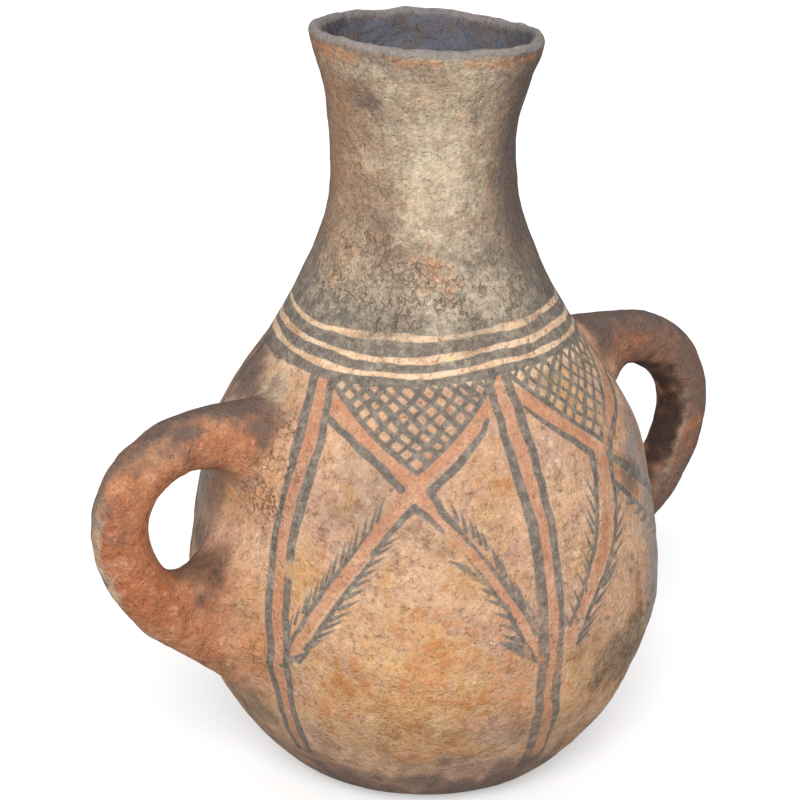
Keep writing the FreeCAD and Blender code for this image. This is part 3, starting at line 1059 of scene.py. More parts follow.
@dataclass(frozen=True)
class FiredClay:
    """The jar's clay, slips and paints, smoke and wear on them, and painted shade, highlight and sheen."""

    pink: tuple = srgb(206, 164, 140)
    peach: tuple = srgb(222, 181, 147)
    dun: tuple = srgb(172, 136, 110)
    cream: tuple = srgb(240, 213, 180)
    shell: tuple = srgb(252, 218, 186)
    umber: tuple = srgb(134, 96, 76)
    ochre: tuple = srgb(218, 168, 108)
    yellow: tuple = srgb(240, 210, 152)
    sienna: tuple = srgb(186, 120, 70)
    rust: tuple = srgb(208, 138, 92)
    charcoal: tuple = srgb(112, 107, 100)
    thin_charcoal: tuple = srgb(148, 139, 128)
    brick: tuple = srgb(200, 141, 109)
    pale_brick: tuple = srgb(216, 166, 135)
    wash: tuple = srgb(102, 93, 86)
    brown_wash: tuple = srgb(140, 118, 102)
    brown: tuple = srgb(170, 134, 108)
    khaki: tuple = srgb(222, 203, 174)
    stone: tuple = srgb(186, 164, 140)
    # Colour of smoke, also used as painted shade
    smoke: tuple = srgb(104, 92, 86)
    # Darkest brown, for the cracks and for the soot and painted shade inside the handles' loops
    soot: tuple = srgb(42, 31, 26)
    lip: tuple = srgb(152, 144, 139)
    slate: tuple = srgb(100, 101, 110)
    earth: tuple = srgb(104, 91, 86)
    green: tuple = srgb(146, 138, 112)
    # Pale grey of dusty bloom and of painted sheen
    bloom: tuple = srgb(166, 160, 156)
    bar: tuple = srgb(210, 152, 114)
    bar_red: tuple = srgb(184, 114, 78)
    shine: float = 0.25
    cell_size: float = 0.0052
    crack_width: float = 0.085
    crack_darkness: float = 0.55
    vein_width: float = 0.10
    vein_darkness: float = 0.19
    relief_strength: float = 0.85
    relief_height: float = 0.00095

    def material(self, slot: Slot) -> bpy.types.Material:
        """Build the finish for one slot, with one recipe so that pieces match at their seams.

        Args:
            slot: the record's slot that the finish is for.

        Returns:
            The finished material.
        """
        clay = ClayRecipe(slot.value)
        outside = clay.step(clay.value("inside"), 0.4, 0.0)
        veins = clay.veins(clay.dots, self.vein_width)
        veins = clay.product(veins, clay.step(clay.mottle, 0.2, 0.9), outside)
        cracks = clay.crazing(self.cell_size, clay.flecks, self.crack_width)
        cracks = clay.product(cracks, clay.value(Mark.CRACK), clay.step(clay.mottle, 0.2, 0.7))
        colour = self.aged(clay, self.paint(clay, self.bars(clay, self.ground(clay))))
        colour = clay.mix(clay.product(cracks, self.crack_darkness), colour, self.soot)
        colour = clay.mix(clay.product(veins, self.vein_darkness), colour, self.umber)
        tone = clay.layered(
            (clay.grain, 0.38), (clay.flecks, 0.24), (clay.mottle, 0.12), (clay.clouds, 0.08), (0.61, 1.0))
        shader = clay.add("ShaderNodeBsdfPrincipled", {
            "Base Color": clay.mix(1.0, colour, tone, "MULTIPLY"),
            "Specular IOR Level": self.shine,
            "Roughness": clay.layered((clay.mottle, 0.10), (0.78, 1.0)),
            "Normal": self.relief(clay, cracks, veins),
        })
        clay.add("ShaderNodeOutputMaterial", {"Surface": shader.outputs[0]})
        return clay.owner

    def ground(self, clay: ClayRecipe) -> Socket:
        """Return the bare slip of the body: pink to peach, with ochre and brown mottling."""
        stains = clay.noise(0.030, 7, 0.72, 31.0)
        colour = clay.coated(
            self.pink,
            (clay.clouds, 0.2, 0.8, 1.0, self.peach),
            (stains, 0.50, 0.95, 0.75, self.ochre),
            (stains, 0.42, 0.0, 0.60, self.dun),
            (clay.mottle, 0.55, 1.05, 0.55, self.dun),
            (clay.flecks, 0.58, 0.95, 0.75, self.cream),
            (clay.flecks, 0.38, 0.0, 0.62, self.umber))
        ochre = clay.value(Mark.OCHRE)
        colour = clay.mix(clay.product(ochre, clay.step(stains, 0.1, 0.7), 0.85), colour, self.ochre)
        spots = clay.layered((clay.flecks, 0.6), (clay.mottle, 0.5), (ochre, 0.25))
        clusters = clay.layered((clay.noise(0.017, 6, 0.75, 41.0), 0.8), (clay.flecks, 0.9), (ochre, 0.34))
        specks = clay.layered((clay.dots, 1.0), (clay.mottle, 0.35), (clay.grain, 0.3))
        return clay.coated(
            colour,
            (spots, 0.76, 1.06, 0.95, self.yellow),
            (clusters, 0.96, 1.60, 0.90, self.sienna),
            (specks, 1.05, 1.40, 0.70, self.umber))

    def bars(self, clay: ClayRecipe, colour: object) -> Socket:
        """Return the ground with the orange-red clay of the handles where the mesh says so."""
        red = clay.coated(
            self.bar,
            (clay.clouds, 0.25, 0.75, 1.0, self.bar_red),
            (clay.mottle, 0.5, 1.0, 0.60, self.umber),
            (clay.flecks, 0.36, 0.0, 0.55, self.umber),
            (clay.flecks, 0.6, 1.0, 0.5, self.pale_brick))
        red = clay.mix(clay.product(clay.value(Mark.BROWN), 0.85), red, self.umber)
        return clay.mix(clay.value("bar"), colour, red)

    def paint(self, clay: ClayRecipe, colour: object) -> Socket:
        """Return the ground with the red and the black brush-work and the dark wash over it."""
        black, red, wear = clay.value(Pigment.BLACK), clay.value(Pigment.RED), clay.value(Mark.WEAR)
        halo = clay.product(clay.step(black, -3.4, -0.8), clay.step(clay.mottle, 0.55, 1.1), 0.6)
        colour = clay.mix(halo, colour, self.cream)
        colour = clay.mix(clay.value("reserved"), colour, self.spared(clay))
        ragged = clay.layered((clay.grain, 0.35), (clay.flecks, 0.60), (-0.47, 1.0))
        worn = clay.layered((clay.dots, 0.7), (clay.grain, 0.3), (wear, 0.50))
        kept = clay.product(clay.step(worn, 1.45, 0.80), clay.step(wear, 1.25, 0.1))
        brick = clay.coated(self.brick, (clay.mottle, 0.2, 0.9, 1.0, self.pale_brick))
        coal = clay.coated(self.charcoal, (clay.flecks, 0.2, 1.0, 1.0, self.thin_charcoal))
        coal = clay.mix(clay.value("neck"), coal, self.neck(clay))
        for film, full, most, paint in ((red, 0.45, 0.88, brick), (black, 0.40, 0.93, coal)):
            cover = clay.step(clay.sum("ADD", film, ragged), -0.45, full)
            colour = clay.mix(clay.product(cover, kept, most), colour, paint)
        return colour

    def spared(self, clay: ClayRecipe) -> Socket:
        """Return the pale pink slip of the lines left bare round the neck, with yellow and rusty spots."""
        return clay.coated(
            self.shell,
            (clay.mottle, 0.2, 0.9, 1.0, self.peach),
            (clay.flecks, 0.50, 0.95, 0.8, self.yellow),
            (clay.clouds, 0.60, 1.0, 0.5, self.dun),
            (clay.dots, 0.60, 1.0, 0.8, self.sienna))

    def neck(self, clay: ClayRecipe) -> Socket:
        """Return the wash of the neck, dark grey to brown."""
        colour = clay.coated(self.wash, (clay.mottle, 0.1, 0.9, 1.0, self.brown_wash))
        return clay.mix(clay.product(clay.value(Mark.BROWN), 0.9), colour, self.brown)

    def aged(self, clay: ClayRecipe, colour: object) -> Socket:
        """Return the painted clay with its worn, rusty, smoked, sooty and dusty patches and painted shade,
        highlight and sheen.
        """
        mottle, flecks = clay.mottle, clay.flecks
        # Pale buff coat, which on the neck's front is partly a painted highlight
        pale = clay.coated(
            self.khaki, (mottle, 0.35, 0.95, 1.0, self.stone), (clay.clouds, 0.55, 1.1, 0.5, self.peach))
        ages = (
            (Mark.BUFF_AND_HIGHLIGHT, 0.0, 1.05, 0.94, pale, -0.37, (mottle, 0.16), (flecks, 0.34), (clay.grain, 0.24)),
            (Mark.RUST, 0.40, 1.15, 0.90, self.rust, -0.60, (flecks, 0.75), (mottle, 0.45)),
            (Mark.GREEN, 0.25, 0.95, 0.75, self.green, -0.17, (flecks, 0.35)),
            (Mark.SMOKE, 0.0, 1.15, 0.95, self.smoke, -0.15, (mottle, 0.16), (flecks, 0.14)),
            (Mark.SOOT_AND_SHADE, 0.05, 1.1, 0.92, self.soot, -0.25, (mottle, 0.25), (flecks, 0.25)),
            (Mark.BLOOM, 0.3, 1.0, 0.8, self.bloom, -0.3, (flecks, 0.6)),
            ("lip", 0.25, 0.75, 0.92, self.lip, -0.2, (flecks, 0.4)),
        )
        for name, low, high, most, coat, thinner, *parts in ages:
            share = clay.layered((clay.value(name), 1.0), *parts, (thinner, 1.0))
            colour = clay.coated(colour, (share, low, high, most, coat))
        inner = clay.coated(self.slate, (mottle, 0.3, 0.9, 1.0, self.earth))
        return clay.mix(clay.value("inside"), colour, inner)

    def relief(self, clay: ClayRecipe, cracks: object, veins: object) -> Socket:
        """Return the normal of the gritty, pitted and crazed surface."""
        pits = clay.step(clay.noise(0.0034, 2, 0.5, 23.0), 0.22, 0.0)
        height = clay.layered(
            (clay.grain, 0.30), (clay.flecks, 0.75), (clay.mottle, 0.9), (pits, -0.8), (veins, -0.25),
            (cracks, -0.9))
        feeds = {"Strength": self.relief_strength, "Distance": self.relief_height, "Height": height}
        return clay.add("ShaderNodeBump", feeds).outputs["Normal"]


def meshed(build: bmesh.types.BMesh, name: str) -> bpy.types.Mesh:
    """Return what was built as a mesh."""
    mesh = bpy.data.meshes.new(name)
    build.to_mesh(mesh)
    build.free()
    return mesh


def placed(name: str, data: bpy.types.ID) -> bpy.types.Object:
    """Return a new object that shows a mesh, a camera or a lamp in the scene."""
    item = bpy.data.objects.new(name, data)
    bpy.context.scene.collection.objects.link(item)
    return item


@dataclass
class Dresser:
    """Turns finished meshes into pieces of the jar and gives them their finish."""

    finish: FiredClay = FiredClay()
    materials: dict = field(default_factory=dict)

    def piece(self, mesh: bpy.types.Mesh, node: str, slot: Slot) -> None:
        """Make a mesh the piece that stands for a node.

        Args:
            mesh: the finished mesh, in place.
            node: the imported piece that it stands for.
            slot: the record's slot of its finish.
        """
        if slot not in self.materials:
            self.materials[slot] = self.finish.material(slot)
        mesh.materials.append(self.materials[slot])
        piece = placed(mesh.name, mesh)
        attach(piece, "root")
        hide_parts(node)
        REPORT.info("%s: %d faces", piece.name, len(mesh.polygons))


def coordinates(mesh: bpy.types.Mesh) -> Array:
    """Return the places of a mesh's points, one in each row."""
    flat = np.empty(len(mesh.vertices) * 3, np.float32)
    mesh.vertices.foreach_get("co", flat)
    return flat.reshape(-1, 3).astype(float)


def carry(mesh: bpy.types.Mesh, name: str, values: Array) -> None:
    """Lay one number on each point of a mesh."""
    layer = mesh.attributes.new(name, "FLOAT", "POINT")
    layer.data.foreach_set("value", np.asarray(values, np.float32))


def settled(mesh: bpy.types.Mesh, places: Array) -> None:
    """Move a mesh's points to new places and shade it smooth but for its real edges."""
    mesh.vertices.foreach_set("co", places.astype(np.float32).ravel())
    mesh.polygons.foreach_set("use_smooth", np.ones(len(mesh.polygons), bool))
    mesh.set_sharp_from_angle(angle=math.radians(SHARP_ANGLE))
    mesh.update()


@dataclass(frozen=True)
class Coil:
    """One turned piece of the wall: the base slab, a coil or the rim."""

    node: str
    slot: Slot
    outer_pitch: float = 0.0009
    inner_pitch: float = 0.006
    wedges: int = 30
    wedge_columns: int = 30
    weld: float = 0.00002
    floor_shares: tuple = (0.75, 0.5, 0.25, 0.08, 0)
    underside_shares: tuple = (0, 0.08, 0.3, 0.55, 0.8, 0.92)
    edge_shares: tuple = (0.0, 0.35, 0.7)
    edge_top_share: float = 0.7
    edge_power: float = 2.2
    lip_steps: int = 14
    rim_inner_pitches: float = 1.5

    def outline(self) -> tuple[list[tuple[float, float]], bool]:
        """Section of the piece.

        Returns:
            Its places, radius and height, and whether the section closes on itself away from
            the jar's axis.
        """
        low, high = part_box(self.node)
        top = high.z - WALL.joint_lap
        inner_low = low.z + WALL.joint_lap
        if self.node == "base_slab":
            inner = WALL.stretch(WALL.inside, WALL.floor_thickness, high.z, self.inner_pitch)
            floor = [(share * WALL.base_radius, WALL.floor_thickness) for share in self.floor_shares]
            return self.slab_side(top) + inner[::-1] + floor, False
        if self.node == "rim_coil":
            outer = WALL.stretch(WALL.outside, low.z, WALL.lip_height, self.outer_pitch)
            pitch = self.outer_pitch * self.rim_inner_pitches
            inner = WALL.stretch(WALL.inside, inner_low, WALL.lip_height, pitch)
            return outer + self.lip() + inner[::-1], True
        outer = WALL.stretch(WALL.outside, low.z, top, self.outer_pitch)
        inner = WALL.stretch(WALL.inside, inner_low, high.z, self.inner_pitch)
        return outer + inner[::-1], True

    def slab_side(self, top: float) -> list[tuple[float, float]]:
        """Return the underside, the rounded edge and the outside of the slab."""
        flat = WALL.base_radius - WALL.base_rounding
        edge_top = WALL.base_rounding * self.edge_top_share
        rings = [(share * flat, 0.0) for share in self.underside_shares]
        start = WALL.radius(edge_top)
        for share in self.edge_shares:
            across = flat + share * (start - WALL.base_radius + WALL.base_rounding)
            rings.append((across, edge_top * share ** self.edge_power))
        return rings + WALL.stretch(WALL.outside, edge_top, top, self.outer_pitch)

    def lip(self) -> list[tuple[float, float]]:
        """Return the places on the rounding of the lip, from outside to inside."""
        half = WALL.lip_thickness / 2
        middle = WALL.mouth_radius - half
        angles = np.linspace(0, math.pi, self.lip_steps)[1:-1]
        return [(middle + half * math.cos(a), WALL.lip_height + half * math.sin(a)) for a in angles]

    def mesh(self) -> bpy.types.Mesh:
        """Turn the section once round the jar, and return the smooth mesh."""
        places, closed = self.outline()
        build = bmesh.new()
        section = [build.verts.new((radius, 0.0, height)) for radius, height in places]
        edges = [build.edges.new(pair) for pair in zip(section, section[1:])]
        if closed:
            edges.append(build.edges.new((section[-1], section[0])))
        axis = {"cent": (0, 0, 0), "axis": (0, 0, 1), "dvec": (0, 0, 0)}
        angle = TURN / self.wedges
        bmesh.ops.spin(build, geom=section + edges, angle=angle, steps=self.wedge_columns, **axis)
        wedge = build.verts[:] + build.edges[:] + build.faces[:]
        rest = {"angle": TURN - angle, "steps": self.wedges - 1, "use_duplicate": True}
        bmesh.ops.spin(build, geom=wedge, **rest, **axis)
        bmesh.ops.remove_doubles(build, verts=build.verts, dist=self.weld)
        bmesh.ops.recalc_face_normals(build, faces=build.faces)
        return meshed(build, f"fired_{self.node}")

    def build(self, dresser: Dresser) -> None:
        """Model the piece, lay its brush-work and its marks on it, and dress it.

        Args:
            dresser: what makes pieces and finishes.
        """
        mesh = self.mesh()
        smooth = coordinates(mesh)
        settled(mesh, WALL.uneven(smooth))
        lay_wall_values(mesh, smooth)
        dresser.piece(mesh, self.node, self.slot)


def lay_wall_values(mesh: bpy.types.Mesh, smooth: Array) -> None:
    """Lay what the finishes read on a piece of the wall.

    Args:
        mesh: the piece's mesh.
        smooth: its points before the hand's unevenness.
    """
    heights = smooth[:, 2]
    crown = eased(*(WALL.height - below for below in CROWN_BELOW), heights)
    values = {
        **BRUSH_WORK.brushed(smooth),
        **WALL_MARKS.at(smooth),
        "neck": eased(*NECK_STARTS, heights),
        "reserved": eased(*SLIP_STARTS, heights),
        "lip": crown,
        "inside": eased(*INSIDE_STARTS, WALL.depth(smooth)) * (1 - CROWN_SPARES * crown),
        "bar": orange_by_the_roots(smooth),
    }
    for name, numbers in values.items():
        carry(mesh, name, numbers)


def clay_of_the_bar(points: Array) -> Array:
    """Return 0 where clay lies on the wall's outside, and 1 where it stands well clear of it."""
    standing = np.hypot(points[:, 0], points[:, 1]) - WALL.radius(points[:, 2])
    return eased(*BAR_STANDS, standing + ROOT_STRAY.at(points))


def orange_by_the_roots(points: Array) -> Array:
    """Return how far the colour of the handles runs out over the wall beside their roots."""
    stray = ROOT_STRAY.at(points) * ORANGE_STRAY
    orange = np.zeros(len(points))
    for x, z, strength in ROOTS:
        away = np.linalg.norm(points - (x, 0, z), axis=1)
        orange = np.maximum(orange, strength * eased(*ORANGE_REACH, away + stray))
    return orange


@dataclass(frozen=True)
class Luting:
    """How far the clay of a root spreads on the wall and reaches along the bar, in metres.

    Each gives the outside of the loop, the two sides and the inside of the loop. A high hollow
    leaves a round fillet there, a low one a full web of clay.
    """

    spread: tuple
    reach: tuple
    hollow: tuple = (0.56, 0.56, 0.56)

    @staticmethod
    def round_about(sizes: tuple, clock: Array) -> Array:
        """Return a size at angles round the bar, blended between outside, sides and inside."""
        outer, side, inner = sizes
        facing = np.cos(clock)
        return side + (outer - side) * eased(0, 1, facing) + (inner - side) * eased(0, 1, -facing)


@dataclass(frozen=True)
class LoopHandle:
    """One rolled bar bent into a loop, with the clay luted round its two roots.

    The centre line runs on past both roots, into the jar. The luting clay starts a feather below
    the surfaces that it lies on, and goes on under them so that no gap shows.
    """

    side: str
    sense: int
    standoff: float
    root_shares: tuple
    bend_shares: tuple
    thicknesses: tuple
    width: float
    blots: tuple
    lutings: tuple
    run_on: float = 0.050
    bury: float = 0.006
    ring_pitch: float = 0.0014
    ring_points: int = 88
    luting_points: int = 144
    luting_rows: int = 26
    feather: float = 0.0003
    under: float = 0.0035
    core_share: float = 0.7
    rim_share: float = 1.02
    line_end: float = 0.040
    line_samples: int = 240
    slimming: float = 0.0004
    paint_fade: float = 0.35
    lumps: tuple = (
        Unevenness(0.048, 0.00030, 71), Unevenness(0.018, 0.00012, 72), Unevenness(0.007, 0.00009, 73),
        Unevenness(0.0034, 0.00004, 74, 24))
    strays: tuple = (Unevenness(0.026, 0.16, 75), Unevenness(0.009, 0.12, 76))

    def __post_init__(self) -> None:
        """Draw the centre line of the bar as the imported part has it."""
        upper, lower = self.root(0), self.root(1)
        reach = self.sense * (WALL.belly_radius + self.standoff)
        points = [upper]
        for root, out, rise in self.bend_shares:
            start = (upper, lower)[root][0]
            points.append(np.array((blend(start, reach, out), 0, blend(lower[2], upper[2], rise))))
        points.append(lower)
        before = points[0] + unit(points[0] - points[1]) * self.run_on
        after = points[-1] + unit(points[-1] - points[-2]) * self.run_on
        object.__setattr__(self, "line", SmoothCurve([before, *points, after]))

    def root(self, end: int) -> Array:
        """Return the place on the wall of the upper root, 0, or the lower root, 1."""
        low, high = ((WALL.belly_height, WALL.waist_height), (0.0, WALL.belly_height))[end]
        height = blend(low, high, self.root_shares[end])
        return np.array((self.sense * float(WALL.radius(height)), 0.0, height))

    def root_mark(self, end: int) -> float:
        """Return the distance along the centre line at which a root lies."""
        return self.run_on if end == 0 else self.line.length - self.run_on

    def thickness(self, mark: Array) -> Array:
        """Return the thickness of the bar at a distance along the centre line."""
        return np.interp(mark / self.line.length, (0, 0.5, 1), self.thicknesses)

    def outwards(self, along: Array) -> Array:
        """Return the directions out of the loop, square to directions along the centre line."""
        return np.cross(along, (0, 1, 0)) * self.sense

    def ring(self, mark: float, clock: Array, grown: float = 0.0) -> Array:
        """Places on the bar's surface.

        Args:
            mark: distance along the centre line.
            clock: angles round it, 0 on the outside of the loop.
            grown: how far outside the bar's surface to stay.

        Returns:
            One row for each angle.
        """
        centre = self.line.at(mark)
        out = self.outwards(self.line.along(mark))
        half_thick = self.thickness(mark) / 2 + grown
        half_wide = self.width / 2 + grown
        smooth = centre + np.cos(clock)[:, None] * half_thick * out
        smooth = smooth + np.sin(clock)[:, None] * half_wide * np.array((0, 1, 0))
        push = heaped(self.lumps, smooth) - self.slimming
        return smooth + unit(smooth - centre) * push[:, None]

    @staticmethod
    def clocks(count: int) -> Array:
        """Return even angles once round the bar."""
        return np.arange(count) / count * TURN

    @staticmethod
    def ringed(name: str, rings: Sequence[Array], closed: bool) -> bpy.types.Mesh:
        """Skin over a row of rings, each drawn out of the last.

        Args:
            name: the mesh's name.
            rings: the places of each ring, all with as many points.
            closed: whether the last ring joins the first; otherwise both ends are capped.

        Returns:
            The mesh, with points in the order of the rings.
        """
        build = bmesh.new()
        points = [build.verts.new(place) for place in rings[0]]
        first = [build.edges.new(pair) for pair in zip(points, points[1:] + points[:1])]
        edges = first
        for ring in rings[1:]:
            drawn = bmesh.ops.extrude_edge_only(build, edges=edges)["geom"]
            edges = [item for item in drawn if isinstance(item, bmesh.types.BMEdge)]
            fresh = [item for item in drawn if isinstance(item, bmesh.types.BMVert)]
            for vert, place in zip(fresh, ring):
                vert.co = place
        if closed:
            bmesh.ops.bridge_loops(build, edges=edges + first)
        else:
            caps = bmesh.ops.holes_fill(build, edges=edges + first)["faces"]
            bmesh.ops.poke(build, faces=caps)
        bmesh.ops.recalc_face_normals(build, faces=build.faces)
        return meshed(build, name)

    def bar_mesh(self) -> bpy.types.Mesh:
        """Return the bar with both ends a little way inside the wall."""
        start, end = self.root_mark(0) - self.bury, self.root_mark(1) + self.bury
        clock = self.clocks(self.ring_points)
        marks = np.linspace(start, end, round((end - start) / self.ring_pitch))
        return self.ringed(f"fired_handle_{self.side}", [self.ring(mark, clock) for mark in marks], False)

    def nearest(self, points: Array) -> tuple[Array, Array]:
        """Where points lie beside the bar.

        Args:
            points: places near the bar.

        Returns:
            Distances along the centre line, and angles round it from the outside of the loop, in
            degrees.
        """
        marks = np.linspace(self.line_end, self.line.length - self.line_end, self.line_samples)
        line = self.line.at(marks)
        closest = np.argmin(((points[:, None, :] - line[None]) ** 2).sum(2), axis=1)
        away = points - line[closest]
        out = self.outwards(self.line.along(marks)[closest])
        return marks[closest], np.degrees(np.arctan2(away[:, 1], (away * out).sum(1)))

    def lay_bar_values(self, mesh: bpy.types.Mesh, points: Array) -> None:
        """Lay what the finishes read on the bar or on its luting clay.

        Args:
            mesh: the mesh to lay it on.
            points: its points.
        """
        marks, clock = self.nearest(points)
        on_bar = strongest(self.blots, clock, (marks - self.run_on) / MM, heaped(self.strays, points))
        share = clay_of_the_bar(points)
        values = {mark: blend(found, on_bar[mark], share) for mark, found in WALL_MARKS.at(points).items()}
        for pigment, cover in BRUSH_WORK.brushed(points).items():
            values[pigment] = blend(cover, BARE, eased(0.0, self.paint_fade, share))
        for name in ("neck", "reserved", "lip", "inside"):
            values[name] = np.zeros(len(points))
        values["bar"] = np.maximum(share, orange_by_the_roots(points))
        for name, numbers in values.items():
            carry(mesh, name, numbers)

    def footprint(self, end: int, clock: Array) -> Array:
        """Where the bar's surface would pierce the wall, counted from the root.

        Args:
            end: 0 for the upper root, 1 for the lower.
            clock: angles round the bar.

        Returns:
            One row for each angle, in the plane that touches the wall at the root.
        """
        root = self.root(end)
        mark = self.root_mark(end)
        along = self.line.along(mark)
        heights = np.array((root[2] - MM, root[2] + MM))
        rise = np.stack((self.sense * WALL.radius(heights), np.zeros(2), heights), axis=-1)
        facing = np.cross(rise[1] - rise[0], (0, 1, 0))
        half = self.thickness(mark) / 2
        oval = np.outer(np.cos(clock) * half, self.outwards(along))
        oval = oval + np.outer(np.sin(clock) * self.width / 2, (0, 1, 0))
        return oval - np.outer(oval @ facing / (along @ facing), along)

    def luting_mesh(self, end: int) -> bpy.types.Mesh:
        """Return the clay smoothed round a root, which meets the wall and the bar without a step."""
        clock = self.clocks(self.luting_points)
        luting = self.lutings[end]
        sizes = (luting.spread, luting.reach, luting.hollow)
        spread, reach, hollow = (luting.round_about(size, clock) for size in sizes)
        sense = (1, -1)[end]
        root, foot = self.root(end), self.footprint(end, clock)
        edge = root + foot * (1 + spread / np.linalg.norm(foot, axis=1))[:, None]
        core = root + foot * self.core_share
        marks = self.root_mark(end) + sense * reach
        sides = []
        for sunk in (self.feather, self.under):
            sides.append(WALL.skin(round_the_jar(edge), edge[:, 2], sunk))
            bar = [self.ring(marks[k], clock[k:k + 1], -sunk)[0] for k in range(len(clock))]
            sides.append(np.stack(bar))
        wall, bar, wall_under, bar_under = sides
        first = wall + unit(root + foot * self.rim_share - wall) * (spread * hollow)[:, None]
        second = bar - sense * self.line.along(marks) * (reach * hollow)[:, None]
        rows = []
        for t in np.linspace(0, 1, self.luting_rows):
            s = 1 - t
            row = s ** 3 * wall + 3 * s ** 2 * t * first + 3 * s * t ** 2 * second + t ** 3 * bar
            push = heaped(self.lumps, row) * math.sin(math.pi * t)
            rows.append(row + unit(row - core) * push[:, None])
        rows += [bar_under, core, wall_under]
        return self.ringed(f"fired_{('upper', 'lower')[end]}_luting_{self.side}", rows, True)

    def build(self, dresser: Dresser) -> None:
        """Model the bar and its luting clay and dress them.

        Args:
            dresser: what makes pieces and finishes.
        """
        for mesh in (self.bar_mesh(), self.luting_mesh(0), self.luting_mesh(1)):
            points = coordinates(mesh)
            settled(mesh, points)
            self.lay_bar_values(mesh, points)
            dresser.piece(mesh, mesh.name.removeprefix("fired_"), Slot.BAR)


def jar_handles() -> tuple[LoopHandle, LoopHandle]:
    """Return the left and the right handle."""
    left = LoopHandle(
        side="left", sense=-1, standoff=0.0559, root_shares=(0.406, 0.944),
        bend_shares=((0, 0.505, 1.103), (0, 1.0, 0.862), (1, 0.727, 0.274)),
        thicknesses=(0.031, 0.029, 0.037), width=0.029,
        blots=(
            # Smoke on the outside by the upper root; the smoke and soot patches inside the loop are painted
            # shade.
            *patches(
                Mark.SMOKE, (0, 10, 82, 80, 1.0), (10, 48, 50, 44, 0.88), (14, 72, 34, 32, 0.85),
                (180, 60, 40, 110, 0.50), (180, 160, 72, 36, 0.54)),
            *patches(Mark.SOOT_AND_SHADE, (180, 155, 52, 26, 0.66)),
            *patches(Mark.BUFF_AND_HIGHLIGHT, (2, 112, 30, 36, 0.80)),
            *patches(Mark.OCHRE, (-120, 30, 40, 30, 0.9)),
            *patches(Mark.RUST, (-100, 70, 30, 44, 0.40), (-60, 150, 40, 44, 0.40))),
        lutings=(
            Luting(spread=(0.015, 0.019, 0.013), reach=(0.050, 0.036, 0.026)),
            Luting(spread=(0.021, 0.020, 0.052), reach=(0.040, 0.036, 0.070), hollow=(0.56, 0.54, 0.44))))
    right = LoopHandle(
        side="right", sense=1, standoff=0.0575, root_shares=(0.442, 0.861),
        bend_shares=((0, 0.539, 1.022), (0, 1.0, 0.740), (1, 0.808, 0.312)),
        thicknesses=(0.0325, 0.031, 0.037), width=0.026,
        blots=(
            # Smoke, brown and soot, and painted shade: the wide patches darken the whole handle, which stands
            # on the shaded side, and the soot darkens the inside of its loop.
            *patches(
                Mark.SMOKE, (0, 20, 84, 100, 1.0), (0, 120, 260, 260, 0.62), (-20, 130, 60, 60, 0.80),
                (-60, 96, 80, 44, 0.80), (-40, 150, 90, 50, 0.76)),
            *patches(Mark.BROWN, (0, 100, 400, 400, 0.80)),
            *patches(Mark.SOOT_AND_SHADE, (-168, 104, 46, 80, 1.0), (-60, 100, 260, 260, 0.16)),
            *patches(Mark.BUFF_AND_HIGHLIGHT, (-122, 112, 11, 34, 0.50), (-112, 150, 12, 16, 0.45)),
            *patches(Mark.RUST, (-90, 46, 30, 50, 0.45), (-64, 90, 30, 40, 0.35))),
        lutings=(
            Luting(spread=(0.015, 0.017, 0.042), reach=(0.044, 0.034, 0.052), hollow=(0.56, 0.56, 0.46)),
            Luting(spread=(0.018, 0.017, 0.017), reach=(0.040, 0.034, 0.030))))
    return left, right


def jar_coils() -> list[Coil]:
    """Return the turned pieces of the wall from the base up."""
    painted = ("foot_coil", "lower_belly_coil", "belly_coil", "upper_belly_coil", "lower_shoulder_coil",
               "shoulder_coil")
    washed = ("lower_neck_coil", "middle_neck_coil", "upper_neck_coil", "rim_coil")
    coils = [Coil("base_slab", Slot.SMOKED)]
    coils += [Coil(node, Slot.PAINTED) for node in painted]
    coils.append(Coil("neck_root_coil", Slot.WASHED))
    coils += [Coil(node, Slot.WASHED, outer_pitch=0.0012) for node in washed]
    return coils


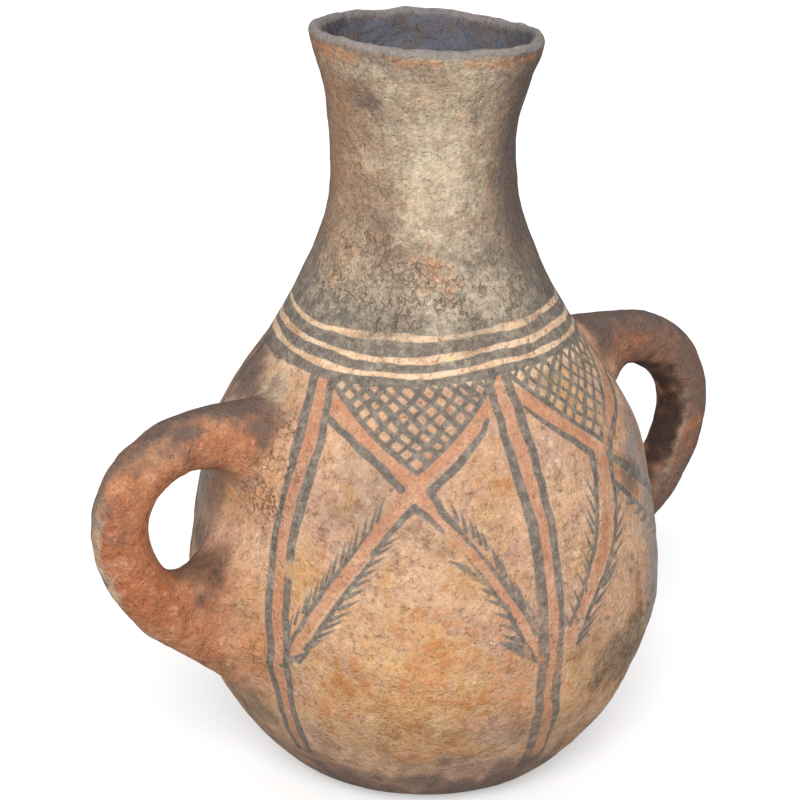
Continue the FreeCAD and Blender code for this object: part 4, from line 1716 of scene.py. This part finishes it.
@dataclass(frozen=True)
class Studio:
    """Pale floor, soft light and the camera, where the photograph was taken from."""

    camera_place: tuple = (-0.7138, -0.9646, 0.6102)
    pitch: float = 0.3284
    yaw: float = -0.0102
    roll: float = 0.0050
    lens: float = 107.6
    sensor: float = 36.0
    sight: float = 50
    floor_half: float = 12.0
    floor_seen: tuple = (0.9, 0.9, 0.9, 1)
    floor_unseen: tuple = (0.42, 0.41, 0.40, 1)
    floor_glow: float = 0.34
    key_energy: float = 2.65
    key_spread: float = 32
    key_aim: tuple = (0.63, 0.77, -0.66)
    room_light: float = 0.45

    def camera(self) -> None:
        """Place the camera and make it the scene's own."""
        heading = math.radians(-VIEW_TURN) - self.yaw
        turn = Matrix.Rotation(heading, 4, "Z") @ Matrix.Rotation(math.pi / 2 - self.pitch, 4, "X")
        turn = turn @ Matrix.Rotation(-self.roll, 4, "Z")
        data = bpy.data.cameras.new("view_of_photograph")
        data.lens = self.lens
        data.sensor_width = self.sensor
        data.clip_end = self.sight
        camera = placed("view_of_photograph", data)
        camera.matrix_world = Matrix.Translation(self.camera_place) @ turn
        bpy.context.scene.camera = camera

    def floor(self) -> None:
        """Lay the pale floor, which looks white but throws less light on the jar."""
        build = bmesh.new()
        bmesh.ops.create_grid(build, x_segments=2, y_segments=2, size=self.floor_half)
        mesh = meshed(build, "studio_floor")
        recipe = Recipe(bpy.data.materials.new("pale_floor"))
        seen = recipe.add("ShaderNodeBsdfDiffuse", {"Color": self.floor_seen})
        unseen = recipe.add("ShaderNodeBsdfDiffuse", {"Color": self.floor_unseen})
        glow = recipe.add("ShaderNodeEmission", {"Strength": self.floor_glow})
        white = recipe.add("ShaderNodeAddShader", (seen.outputs[0], glow.outputs[0]))
        rays = recipe.add("ShaderNodeLightPath").outputs
        straight = recipe.sum("MAXIMUM", rays["Is Camera Ray"], rays["Is Glossy Ray"])
        straight = recipe.sum("MAXIMUM", straight, rays["Is Transmission Ray"])
        either = recipe.add("ShaderNodeMixShader", (straight, unseen.outputs[0], white.outputs[0]))
        recipe.add("ShaderNodeOutputMaterial", {"Surface": either.outputs[0]})
        mesh.materials.append(recipe.owner)
        floor = placed("studio_floor", mesh)

    def light(self) -> None:
        """Hang the soft key light and set the light of the room."""
        key = bpy.data.lights.new("soft_key", "SUN")
        key.energy = self.key_energy
        key.angle = math.radians(self.key_spread)
        aim = Vector(self.key_aim).to_track_quat("-Z", "Y")
        placed("soft_key", key).matrix_world = aim.to_matrix().to_4x4()
        room = Recipe(bpy.data.worlds.new("white_room"))
        glow = room.add("ShaderNodeBackground", {"Color": (1, 1, 1, 1), "Strength": self.room_light})
        room.add("ShaderNodeOutputWorld", {"Surface": glow.outputs[0]})
        bpy.context.scene.world = room.owner

    def build(self) -> None:
        """Set up the whole studio."""
        self.camera()
        self.floor()
        self.light()
        bpy.context.scene.view_settings.view_transform = "Standard"


def main() -> None:
    """Build the jar and the studio."""
    logging.basicConfig(level=logging.INFO, format="%(message)s")
    dresser = Dresser()
    for coil in jar_coils():
        coil.build(dresser)
    for handle in jar_handles():
        handle.build(dresser)
    Studio().build()


if __name__ == "__main__":
    main()
